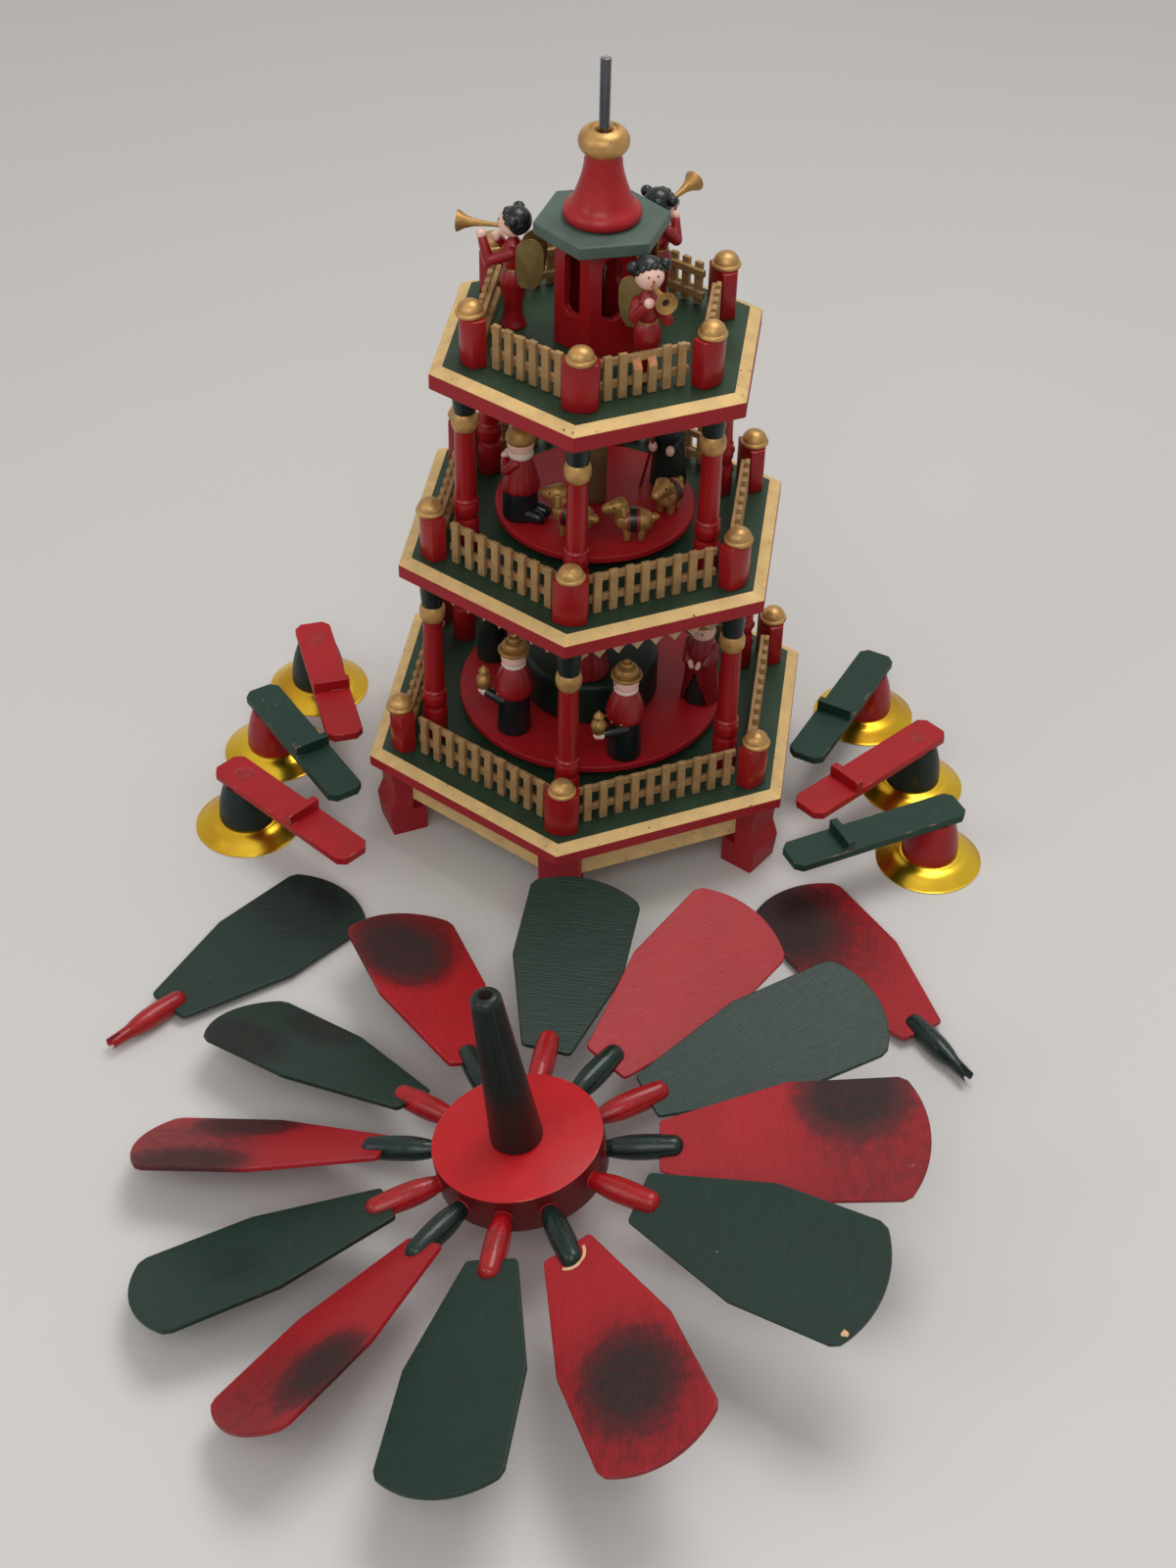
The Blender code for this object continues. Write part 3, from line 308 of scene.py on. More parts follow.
painted("deck_green", (0.022, 0.048, 0.027), 0.40, amount=0.22, bump=0.25,
        specks=0.08, speck_colour=(0.03, 0.09, 0.06))
painted("pedestal_green", (0.004, 0.014, 0.010), 0.42, amount=0.2, bump=0.2)
painted("sleeve_green", (0.004, 0.013, 0.011), 0.34, coat=0.15, amount=0.35, size=60.0, bump=0.2)
# The roof's green is lightened for the sheen of the overhead light on its top: its paint with a painted sheen in
# it.
painted("roof_green", (0.075, 0.115, 0.095), 0.50, amount=0.18, bump=0.35, chips=0.2)
painted("capital_green", (0.004, 0.014, 0.012), 0.34, coat=0.1, amount=0.14)
painted("cup_green", (0.005, 0.015, 0.013), 0.42, amount=0.18)

on_arm = dict(bump=0.22, chips=0.45, specks=0.10)
painted("arm_red", (0.36, 0.007, 0.012), 0.46, amount=0.12, speck_colour=(0.52, 0.10, 0.10), **on_arm)
painted("arm_green", (0.009, 0.036, 0.024), 0.48, amount=0.16, speck_colour=(0.05, 0.12, 0.09), **on_arm)
on_peg = dict(amount=0.4, size=220.0, bump=0.4, specks=0.35)
painted("peg_red", (0.30, 0.014, 0.018), 0.46, speck_colour=(0.55, 0.20, 0.14), **on_peg)
painted("peg_green", (0.012, 0.036, 0.026), 0.48, speck_colour=(0.16, 0.15, 0.10), **on_peg)
on_stem = dict(coat=0.4, shine=0.2, amount=0.30, size=95.0, bump=0.3, lumps=0.9)
painted("stem_red", (0.33, 0.005, 0.008), 0.16, specks=0.30, speck_colour=(0.20, 0.03, 0.01),
        speck_size=110.0, **on_stem)
painted("stem_green", (0.004, 0.017, 0.013), 0.16, **on_stem)

# %% Gilding, enamel, skin and torn wood
painted("band_gold", (0.66, 0.45, 0.19), 0.52, amount=0.16, size=150.0, bump=0.35, metallic=0.1, specks=0.40)
painted("knob_gold", (0.50, 0.29, 0.10), 0.36, amount=0.34, size=170.0, bump=0.2, metallic=0.5, specks=0.34)
painted("picket_gold", (0.40, 0.245, 0.105), 0.52, amount=0.26, size=160.0, bump=0.3, metallic=0.25, specks=0.34)
painted("sleeve_olive", (0.15, 0.085, 0.035), 0.50, amount=0.2, size=120.0, bump=0.2, metallic=0.3, specks=0.2)
painted("hat_gold", (0.36, 0.20, 0.062), 0.38, amount=0.32, size=260.0, bump=0.2, metallic=0.5, specks=0.3)
painted("wing_olive", (0.22, 0.155, 0.055), 0.45, amount=0.22, size=180.0, metallic=0.3)
painted("black_enamel", (0.007, 0.010, 0.011), 0.30, coat=0.25, amount=0.12)
painted("dark_robe", (0.006, 0.014, 0.012), 0.38, coat=0.1, amount=0.14)
painted("cloak_red", (0.20, 0.006, 0.010), 0.34, coat=0.2, amount=0.22, size=160.0, bump=0.35)
painted("dress_red", (0.27, 0.006, 0.009), 0.24, coat=0.3, amount=0.2, size=220.0, bump=0.45)
painted("doll_skin", (0.80, 0.52, 0.42), 0.40, coat=0.1, amount=0.06, size=200.0)
painted("white_enamel", (0.72, 0.60, 0.52), 0.36, coat=0.1, amount=0.08)
for name, colour in (("torn_wood", (0.66, 0.30, 0.13)), ("pale_torn_wood", (0.72, 0.46, 0.25))):
    painted(name, colour, 0.80, amount=0.25, size=420.0, bump=0.6)
# A dark brown laid inside hollows, the candle sockets, the trumpet bells and the sleeve's bore: painted shade.
painted("recess_painted_shade", (0.030, 0.018, 0.012), 0.80, amount=0.20)
print("painted finishes:", len(FINISH))

# %% [markdown]
# ## Metal, foil, glass and bare wood
#
# These don't fit the paint recipe. Steel is metallic with fine lines round the rod, and its colour is
# dark where the rod faces the viewer and pale where it is seen side-on, a painted reflection. The foil
# brass is nearly a mirror with a lazy ripple, and bare wood gets its tone and its bump from one grain.

# %% Steel, foil brass, glass and bare wood
tree, shader, place = new_finish("bright_steel")
lines = noise(tree, node(tree, "Mapping", {"Vector": place, "Scale": (1, 1, 12)})[0], 260.0, 3.0)
fine = mixed(tree, lines, (0.10, 0.10, 0.11, 1), (0.16, 0.16, 0.17, 1))
# Painted reflection: the rod's colour is dark where it faces the viewer and turns pale where it is seen side-on.
painted_side_sheen = remap(tree, node(tree, "LayerWeight", {"Blend": 0.5})["Facing"], 0.30, 0.75)
fill(tree, shader, {
    "Metallic": 1.0, "Roughness": remap(tree, lines, 0.3, 0.7, 0.10, 0.20),
    "Base Color": mixed(tree, painted_side_sheen, fine, (0.72, 0.72, 0.73, 1)),
})

tree, shader, place = new_finish("foil_brass")
ripple = noise(tree, place, 26.0, 0.0)
yellow = mixed(tree, remap(tree, ripple, 0.35, 0.65), (0.90, 0.60, 0.045, 1), (0.62, 0.33, 0.022, 1))
fill(tree, shader, {
    "Metallic": 1.0, "Roughness": remap(tree, noise(tree, place, 70.0, 1.0), 0.3, 0.7, 0.22, 0.30),
    "Base Color": yellow, "Normal": bumped(tree, ripple, 0.06, 1.2 * MM),
})

tree, shader, place = new_finish("bearing_glass")
frost = remap(tree, noise(tree, place, 300.0), 0.3, 0.7, 0.04, 0.12)
fill(tree, shader, {"Transmission Weight": 1.0, "IOR": 1.5, "Roughness": frost})

tree, shader, place = new_finish("bare_wood")
upright = node(tree, "Mapping", {"Vector": place, "Rotation": (0, radians(90), 0)})[0]
grain = effect(tree, GRAIN, Vector=upright, Fineness=900.0)["Lines"]
fill(tree, shader, {
    "Base Color": mixed(tree, grain, (0.66, 0.50, 0.31, 1), (0.44, 0.29, 0.15, 1)),
    "Roughness": remap(tree, grain, 0.0, 1.0, 0.55, 0.75), "Normal": bumped(tree, grain, 0.25, 0.2 * MM),
})

# %% [markdown]
# ## The blades' finish
#
# The blades are thin sheets of wood with one coat of paint, so the grain shows as fine ridges under
# it. It follows each blade and not the room, so it reads the blade's own UV map, in metres. Candle
# flames have burnt some blades. Each blade carries a soot value at its points, strongest at the
# burn and fading out, and the finish breaks it up with noise.

# %% Blade paint with grain and soot
SCORCHED = (0.36, 0.40, 0.40, 1)
CHARRED = (0.012, 0.008, 0.008, 1)
SCUFFED = (0.36, 0.28, 0.24, 1)
# Darker along the blade's rounded edges.
DARK_BLADE_EDGE = (0.012, 0.010, 0.009, 1)


def blade_paint(name, colour, pale):
    """Paint over wood grain on a blade, darkened where the candles burnt it."""
    tree, shader, place = new_finish(name)
    sheet = node(tree, "UVMap", uv_map="blade")["UV"]
    grain = effect(tree, GRAIN, Vector=sheet, Fineness=1300.0)["Lines"]
    film = effect(tree, UNEVEN, Vector=place, Colour=rgba(colour), Size=45.0, Amount=0.10)
    shade = mixed(tree, remap(tree, grain, 0.50, 1.0, 0.0, 0.40), film["Colour"], rgba(pale))
    soot = node(tree, "Attribute", attribute_name="soot")["Fac"]
    broken = maths(tree, "SUBTRACT", noise(tree, place, 260.0, 6.0, 0.75), 0.5)
    fringe = times(tree, times(tree, soot, remap(tree, soot, 1.0, 0.2)), 3.4)
    burnt = maths(tree, "ADD", soot, times(tree, broken, fringe))
    shade = mixed(tree, remap(tree, burnt, 0.02, 0.45), shade, SCORCHED, "MULTIPLY")
    core = remap(tree, burnt, 0.30, 0.95)
    flecks = remap(tree, noise(tree, place, 620.0, 3.0, 0.6), 0.36, 0.62, 0.74, 1.0)
    shade = mixed(tree, times(tree, core, flecks), shade, CHARRED)
    marks = effect(tree, SPECKS, Vector=place, Size=300.0, Amount=0.14)["Mask"]
    shade = mixed(tree, times(tree, marks, 0.5), shade, SCUFFED)
    edges = effect(tree, CHIPS, Vector=place, Width=0.7 * MM, Amount=0.0)["Edge"]
    height = maths(tree, "ADD", grain, times(tree, film["Height"], 0.5))
    fill(tree, shader, {
        "Base Color": mixed(tree, times(tree, edges, 0.55), shade, DARK_BLADE_EDGE),
        "Roughness": maths(tree, "ADD", remap(tree, grain, 0.0, 1.0, 0.31, 0.43), times(tree, core, 0.25)),
        "Specular IOR Level": 0.36, "Normal": bumped(tree, height, 0.34, 0.3 * MM),
    })


blade_paint("blade_red", (0.34, 0.006, 0.012), (0.40, 0.018, 0.026))
blade_paint("blade_green", (0.006, 0.024, 0.016), (0.012, 0.040, 0.029))
print("finishes:", len(FINISH))

# %% [markdown]
# ## Bench tools
#
# Nearly everything here came off a lathe or out of a board. A turned piece starts as a line of
# points and is spun round its axis. A board starts as one flat face and is extruded. Corners are
# rounded with a bevel, because a perfectly sharp corner catches no light.

# %% Points and profiles
def mm(points):
    """Points given in millimetres, in metres."""
    return [tuple(value * MM for value in point) for point in points]


def arc(x, y, wide, angles, high=None):
    """Points of an arc about (x, y), with its half width and, if that differs, its half height."""
    return [(x + wide * cos(radians(a)), y + (high or wide) * sin(radians(a))) for a in angles]


def curve_through(points, steps=5):
    """A smooth run of points through the given ones."""
    spots = [Vector(p) for p in points]
    spots = [2 * spots[0] - spots[1], *spots, 2 * spots[-1] - spots[-2]]
    run = []
    for a, b, c, d in zip(spots, spots[1:], spots[2:], spots[3:]):
        for index in range(steps):
            t = index / steps
            bend = (2 * a - 5 * b + 4 * c - d) * t * t + (3 * b - a - 3 * c + d) * t ** 3
            run.append(0.5 * (2 * b + (c - a) * t + bend))
    run.append(spots[-2])
    return [(max(0.0, p.x), p.y) for p in run]


# %% Lathe, boards and limbs
def lathe(profile, sides=48, ring=False):
    """Spin a profile of (radius, height) points about Z."""
    bm = bmesh.new()
    spots = [bm.verts.new((radius, 0, height)) for radius, height in profile]
    edges = [bm.edges.new(pair) for pair in zip(spots, spots[1:])]
    if ring:
        edges.append(bm.edges.new((spots[-1], spots[0])))
    bmesh.ops.spin(
        bm, geom=spots + edges, cent=(0, 0, 0), axis=(0, 0, 1), angle=2 * pi, steps=sides, use_merge=True
    )
    bmesh.ops.remove_doubles(bm, verts=bm.verts, dist=1e-6)
    bmesh.ops.recalc_face_normals(bm, faces=bm.faces)
    return bm


def board(outline, low, high):
    """Extrude a flat outline of (x, y) points from one height to another."""
    bm = bmesh.new()
    face = bm.faces.new([bm.verts.new((x, y, low)) for x, y in outline])
    grown = bmesh.ops.extrude_face_region(bm, geom=[face])
    raised = [item for item in grown["geom"] if isinstance(item, bmesh.types.BMVert)]
    bmesh.ops.translate(bm, verts=raised, vec=(0, 0, high - low))
    bmesh.ops.recalc_face_normals(bm, faces=bm.faces)
    return bm


def block(size, centre):
    """A box of this size about a centre."""
    bm = bmesh.new()
    matrix = Matrix.Translation(centre) @ Matrix.Diagonal((*size, 1))
    bmesh.ops.create_cube(bm, size=1.0, matrix=matrix)
    return bm


def rounded(bm, width, segments=2, sharper=30, keep=lambda edge: True):
    """Bevel the edges that turn by more than an angle."""
    edges = [
        edge for edge in bm.edges
        if edge.is_manifold and edge.calc_face_angle(0) > radians(sharper) and keep(edge)
    ]
    bmesh.ops.bevel(
        bm, geom=edges, offset=width, offset_type="OFFSET", segments=segments, profile=0.5,
        affect="EDGES", clamp_overlap=True, material=-1,
    )
    return bm


def moved(bm, x=0.0, y=0.0, z=0.0, turn=0.0, pitch=0.0, roll=0.0):
    """Roll about X, pitch about Y, turn about Z, then move, in degrees and metres."""
    matrix = Matrix.Translation((x, y, z)) @ Matrix.Rotation(radians(turn), 4, "Z")
    matrix = matrix @ Matrix.Rotation(radians(pitch), 4, "Y") @ Matrix.Rotation(radians(roll), 4, "X")
    bm.transform(matrix)
    return bm


def ball(radius, centre, stretch=(1, 1, 1), sides=20):
    """A ball, stretched along X, Y and Z."""
    bm = bmesh.new()
    matrix = Matrix.Translation(centre) @ Matrix.Diagonal((*stretch, 1))
    bmesh.ops.create_uvsphere(bm, u_segments=sides, v_segments=sides // 2, radius=radius, matrix=matrix)
    return bm


def aimed(bm, start, end):
    """Carry a shape that stands on the origin to a start point, leaning towards an end."""
    start, end = Vector(start), Vector(end)
    lean = Vector((0, 0, 1)).rotation_difference(end - start).to_matrix().to_4x4()
    bm.transform(Matrix.Translation(start) @ lean)
    return bm


def limb(start, end, start_radius, end_radius, sides=16):
    """A round limb with round ends between two points."""
    length = (Vector(end) - Vector(start)).length
    profile = [(0, -start_radius), *arc(0, 0, start_radius, (-60, -30, 0))]
    profile += [*arc(0, length, end_radius, (0, 30, 60)), (0, length + end_radius)]
    return aimed(lathe(profile, sides), start, end)


# %% Making a finished piece
def coloured(bm, pick):
    """Give each face the paint number that pick() gives for its middle; True counts as 1."""
    for face in bm.faces:
        face.material_index = int(pick(face.calc_center_median()))
    return bm


def shaded(bm, crease):
    """Shade the faces smooth, except across edges that turn by more than an angle."""
    for face in bm.faces:
        face.smooth = True
    for edge in bm.edges:
        edge.smooth = edge.calc_face_angle(0) < radians(crease)


def poured(bm, whole):
    """Pour a shape into a larger one."""
    spare = bpy.data.meshes.new("spare")
    bm.to_mesh(spare)
    bm.free()
    whole.from_mesh(spare)
    bpy.data.meshes.remove(spare)


def laid_out(name, bm, mesh, body, nodes, place):
    """Turn a shape into an object on its body, in place of its solids."""
    bm.transform(place)
    bm.to_mesh(mesh)
    bm.free()
    made = bpy.data.objects.new(name, mesh)
    bpy.context.collection.objects.link(made)
    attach(made, body)
    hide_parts(*nodes)
    print(f"{name}: {len(mesh.polygons)} faces")
    return made


CREASE = 38


def piece(name, parts, body, nodes, place):
    """Join (shape, finishes, crease) parts into one object, whose places are in its mesh."""
    mesh = bpy.data.meshes.new(name)
    whole = bmesh.new()
    for shape, finishes, *crease in parts:
        names = [FINISH[f].name for f in ((finishes,) if isinstance(finishes, str) else finishes)]
        for finish in names:
            if finish not in mesh.materials:
                mesh.materials.append(bpy.data.materials[finish])
        for face in shape.faces:
            face.material_index = mesh.materials.find(names[min(face.material_index, len(names) - 1)])
        shaded(shape, *crease or [CREASE])
        poured(shape, whole)
    return laid_out(name, whole, mesh, body, nodes, place)


TOWER = "tower_and_loose_pieces"


def on_axis(height=0.0):
    """Where a piece on the tower's axis stands."""
    return Matrix.Translation((SHAFT.x, SHAFT.y, height))


# %% [markdown]
# ## Camera, light and table
#
# The camera stands where the photographer stood: about a metre off, looking down at 41 degrees.
# The room is lit by a pale ceiling, so a very broad lamp hangs overhead. A smaller one stands behind
# to the right, because only the two blades at the upper right show a pale sheen in the photograph. A
# weak one at the left stands for the window that streaks the glossy columns, and one on the camera's
# side keeps the shadows under the wheel soft. An even world fills the rest. The camera and the
# reflections see it paler than the light it gives, so that glossy paint still has a room to mirror.

# %% Camera
CAMERA_FROM_SHAFT = (0.00329, -0.82497, 0.70975)
LOOKS_DOWN = 40.971
LOOKS_ASIDE = 0.231
CAMERA_ROLL = 1.413
LENS = 56.4

down, aside, roll = radians(LOOKS_DOWN), radians(LOOKS_ASIDE), radians(CAMERA_ROLL)
back = Vector((sin(aside) * cos(down), -cos(aside) * cos(down), sin(down)))
right = Vector((cos(aside), sin(aside), 0))
up = back.cross(right)
level_right = cos(roll) * right + sin(roll) * up
level_up = -sin(roll) * right + cos(roll) * up
camera = bpy.data.objects.new("photo_camera", bpy.data.cameras.new("photo_camera"))
camera.data.lens = LENS
camera.matrix_world = (
    Matrix.Translation(SHAFT + Vector(CAMERA_FROM_SHAFT))
    @ Matrix((level_right, level_up, back)).transposed().to_4x4()
)
bpy.context.collection.objects.link(camera)
bpy.context.scene.camera = camera

# %% Lamps and world
LAMP_COLOUR = (1.0, 0.985, 0.97)
LIGHTS_LIKE = (0.37, 0.365, 0.36, 1)
LOOKS_LIKE = (0.55, 0.54, 0.525, 1)


def lamp(name, place, aim, size, watts):
    """A square soft lamp that faces a point."""
    light = bpy.data.objects.new(name, bpy.data.lights.new(name, "AREA"))
    light.data.size = size
    light.data.energy = watts
    light.data.color = LAMP_COLOUR
    light.location = place
    light.rotation_mode = "QUATERNION"
    light.rotation_quaternion = (Vector(aim) - Vector(place)).to_track_quat("-Z", "Y")
    bpy.context.collection.objects.link(light)


lamp("ceiling_lamp", (0, -0.05, 1.6), (0, -0.05, 0), 3.0, 4.5)
lamp("sheen_lamp", (0.28, 0.40, 1.40), (0, -0.1, 0), 0.7, 8.5)
lamp("window_lamp", (-1.25, -0.55, 0.95), (0, 0, 0.1), 0.7, 3.0)
lamp("front_lamp", (-0.10, -1.15, 1.30), (0, -0.05, 0.05), 0.9, 7.0)

world = bpy.data.worlds.new("studio")
bpy.context.scene.world = world
world.use_nodes = True
tree = world.node_tree
seen = node(tree, "LightPath")
direct = maths(tree, "MAXIMUM", seen["Is Camera Ray"], seen["Is Transmission Ray"])
direct = maths(tree, "MAXIMUM", direct, seen["Is Glossy Ray"])
surround = {"Color": mixed(tree, direct, LIGHTS_LIKE, LOOKS_LIKE), "Strength": 1.0}
fill(tree, tree.nodes["Background"], surround)
bpy.context.scene.view_settings.view_transform = "Standard"

# %% Table
tree, shader, place = new_finish("table_top")
tone = mixed(tree, noise(tree, place, 3.0, 2.0), (0.59, 0.575, 0.56, 1), (0.62, 0.605, 0.59, 1))
fill(tree, shader, {"Base Color": tone, "Roughness": 0.55})
floor_shape = bmesh.new()
bmesh.ops.create_grid(floor_shape, x_segments=8, y_segments=8, size=2.5)
floor_mesh = bpy.data.meshes.new("table_top")
floor_shape.to_mesh(floor_mesh)
floor_shape.free()
floor_mesh.materials.append(FINISH["table_top"])
floor = bpy.data.objects.new("table_top", floor_mesh)
bpy.context.collection.objects.link(floor)
floor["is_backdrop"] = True

# %% [markdown]
# ## Decks
#
# Each deck is a hexagonal board with a hole for the shaft. Its edge is red, a gold band slopes up
# from the edge, and the walking surface inside is green. It could be an inset hexagon, but an inset
# would also shrink the hole. So it is lofted instead: hexagons and circles with the same number of
# points are laid at their heights and bridged one to the next.

# %% Loft a bored hexagonal board
LOOP_POINTS = 48
BAND = 4.8 * MM
BAND_RISE = 2.1 * MM
HOLE = 5.0 * MM


def loop_at(bm, radius, height, sides, turn):
    """A level loop of LOOP_POINTS edges, shaped as a polygon with this many sides."""
    before = set(bm.edges)
    matrix = Matrix.Translation((0, 0, height)) @ Matrix.Rotation(radians(turn - 90), 4, "Z")
    bmesh.ops.create_circle(bm, segments=sides, radius=radius, matrix=matrix)
    fresh = [edge for edge in bm.edges if edge not in before]
    if sides < LOOP_POINTS:
        bmesh.ops.subdivide_edges(bm, edges=fresh, cuts=LOOP_POINTS // sides - 1)
    return [edge for edge in bm.edges if edge not in before]


def lofted(loops):
    """Bridge (radius, height, sides, turn) loops into one closed ring."""
    bm = bmesh.new()
    laid = [loop_at(bm, *loop) for loop in loops]
    for lower, upper in zip(laid, laid[1:] + laid[:1]):
        bmesh.ops.bridge_loops(bm, edges=lower + upper)
    bmesh.ops.recalc_face_normals(bm, faces=bm.faces)
    return bm


def deck_board(tier):
    """A deck with a red edge, a gold band and a green surface."""
    low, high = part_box(tier + "_deck")
    radius, turn = hexagon_of(tier + "_deck")
    inner = radius - BAND / cos(pi / 6)
    edge_top = high.z - BAND_RISE
    bm = lofted([
        (radius, low.z, 6, turn), (radius, edge_top, 6, turn), (inner, high.z, 6, turn),
        (HOLE, high.z, LOOP_POINTS, turn), (HOLE, low.z, LOOP_POINTS, turn),
    ])

    def colour_at(spot):
        if spot.z < edge_top - 0.2 * MM or spot.xy.length < HOLE * 1.01:
            return 3 if spot.z < low.z + 0.1 * MM else 0
        sides = [radians(turn + 30 + 60 * k) for k in range(6)]
        across = max(spot.x * cos(side) + spot.y * sin(side) for side in sides)
        return 1 if across > inner * cos(pi / 6) else 2

    coloured(bm, colour_at)
    rounded(bm, 0.45 * MM, 2, 40)
    finishes = ("deck_red", "band_gold", "deck_green", "bare_wood")
    piece(f"{tier}_deck_board", [(bm, finishes, 8)], TOWER, [f"{tier}_deck"], on_axis())


for tier in SURFACE:
    deck_board(tier)

# %% [markdown]
# ## Feet and aprons
#
# Each foot is a block whose outer face is waisted, with a groove in each side for the apron board.
# The foot is lofted from plan outlines: where the groove starts and ends, two outlines share a
# height, one plain and one notched, and the bridge between them makes the ledge.

# %% Feet
FOOT_OUT = BASE_RADIUS - 6.0 * MM
FOOT_DEEP = 16.0 * MM
FOOT_HALF = 8.5 * MM
GROOVE = (80.1 * MM, 84.4 * MM)
GROOVE_DEEP = 2.5 * MM
APRON_TOP = 30.3 * MM
APRON_LOW = 17.8 * MM
GROOVE_LOW = APRON_LOW - 5.5 * MM
GROOVE_TOP = APRON_TOP + 0.8 * MM
FOOT_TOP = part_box("base_deck")[0].z - 0.3 * MM


def foot_outline(outer, notch, height):
    """A foot's plan at one height, notched in both sides."""
    near, far = GROOVE
    inner = FOOT_OUT - FOOT_DEEP
    half = [(outer, FOOT_HALF), (far, FOOT_HALF), (far, FOOT_HALF - notch), (near, FOOT_HALF - notch),
            (near, FOOT_HALF), (inner, FOOT_HALF)]
    return [(x, y, height) for x, y in half] + [(x, -y, height) for x, y in reversed(half)]


def foot_shape():
    """One foot, standing along +X."""
    plans = [
        (-0.6, 0, 0), (0.9, 0, 12 * MM), (0.9, 0, GROOVE_LOW), (0.9, GROOVE_DEEP, GROOVE_LOW),
        (-1.8, GROOVE_DEEP, 19.2 * MM), (-1.4, GROOVE_DEEP, 27.1 * MM), (-0.7, GROOVE_DEEP, GROOVE_TOP),
        (-0.7, 0, GROOVE_TOP), (0, 0, FOOT_TOP),
    ]
    bm = bmesh.new()
    rings = []
    for bulge, notch, height in plans:
        spots = [bm.verts.new(p) for p in foot_outline(FOOT_OUT + bulge * MM, notch, height)]
        rings.append([bm.edges.new(pair) for pair in zip(spots, spots[1:] + spots[:1])])
        if height in (0, FOOT_TOP):
            bm.faces.new(spots)
    for lower, upper in zip(rings, rings[1:]):
        for first, second in zip(lower, upper):
            a, b = first.verts
            c, d = second.verts
            bm.faces.new((a, b, d, c))
    bmesh.ops.remove_doubles(bm, verts=bm.verts, dist=1e-6)
    bmesh.ops.recalc_face_normals(bm, faces=bm.faces)
    corner = FOOT_HALF * 0.999
    return rounded(bm, 0.5 * MM, 2, 50, lambda e: all(abs(v.co.y) > corner and (
        v.co.x < FOOT_OUT - FOOT_DEEP * 0.99 or v.co.x > GROOVE[1] + MM) for v in e.verts))


feet = [(moved(foot_shape(), turn=turn), "deck_red", 15) for turn in CORNERS]
piece("waisted_feet", feet, TOWER, ["foot_frame"], on_axis())

# %% Aprons
APRON_AT = (0, 75.5 * MM, (APRON_TOP + APRON_LOW) / 2)
APRON = (71.8 * MM, 3.0 * MM, APRON_TOP - APRON_LOW)
aprons = [(moved(rounded(block(APRON, APRON_AT), 0.3 * MM), turn=turn), "band_gold", 15) for turn in SIDES]
piece("apron_boards", aprons, TOWER, ["foot_frame"], on_axis())

# %% [markdown]
# ## Balustrades
#
# A post stands at each corner, its outer face bowed, with a gilded dome on a thin ring. Between the
# posts run two rails with slats glued on the outside. They were nailed up by hand, so each slat
# gets its own small lean and length from one seeded draw. Two slats on the top deck are snapped.

# %% Posts and knobs
POST_HALF = 7.0 * MM
POST_DEEP = 8.2 * MM
POST_HIGH = 20.0 * MM
POST_BOW = 2.4 * MM
POST_OUT = {"base": 89.9 * MM, "middle": 74.3 * MM, "top": 56.5 * MM}
KNOB = 5.4 * MM
KNOB_RISE = 4.1 * MM
RING_HALF = 1.1 * MM


def post_shape(out):
    """A post along +X whose outer face bows."""
    across = [step / 8 for step in range(-8, 9)]
    side = POST_HALF - 0.2 * MM
    bow = [(out - POST_BOW * t * t, side * t) for t in across]
    back = out - POST_DEEP
    return rounded(board([(back, -side), *bow, (back, side)], 0.2 * MM, POST_HIGH), 0.4 * MM, 2, 40)


def knob_shape(out):
    """The gilded dome on a post, with the thick ring it sits on."""
    low = POST_HIGH - 0.1 * MM
    ring = KNOB + 0.4 * MM - RING_HALF
    profile = [(0, low), (ring + 0.4 * MM, low), *arc(ring, low + RING_HALF, RING_HALF, range(-60, 61, 20))]
    low += 2 * RING_HALF
    profile += [*arc(0, low, KNOB - 0.4 * MM, range(0, 90, 12), KNOB_RISE), (0, low + KNOB_RISE)]
    return moved(lathe(profile, 32), x=out - POST_DEEP / 2)


for tier, out in POST_OUT.items():
    posts = [(moved(post_shape(out), turn=turn), "red_lacquer", 24) for turn in CORNERS]
    knobs = [(moved(knob_shape(out), turn=turn), "knob_gold") for turn in CORNERS]
    for kind, parts, slot in (("posts", posts, "red_paint"), ("knobs", knobs, "gilt_paint")):
        piece(f"{tier}_{kind}", parts, TOWER, [f"{tier}_balustrade"], on_axis(SURFACE[tier]))

# %% Pickets
SLATS = {"base": 10, "middle": 8, "top": 6}
SLAT = (3.3 * MM, 1.9 * MM, 19.0 * MM)
RAIL = (1.9 * MM, 3.0 * MM)
RAIL_HEIGHTS = (4.0 * MM, 13.6 * MM)
FENCE_INSET = 4.8 * MM
BROKEN_HIGH = 14.6 * MM
draw = Random(7)


def snapped(bm, high):
    """Break a slat off at a slant, lower on its outer side."""
    for vertex in bm.verts:
        if vertex.co.z > high / 2:
            outside = vertex.co.y > 0
            vertex.co.z += (-2.4 if outside else 0.6) * MM + draw.uniform(-0.5, 0.3) * MM
            vertex.co.y += 0.4 * MM if outside else 0


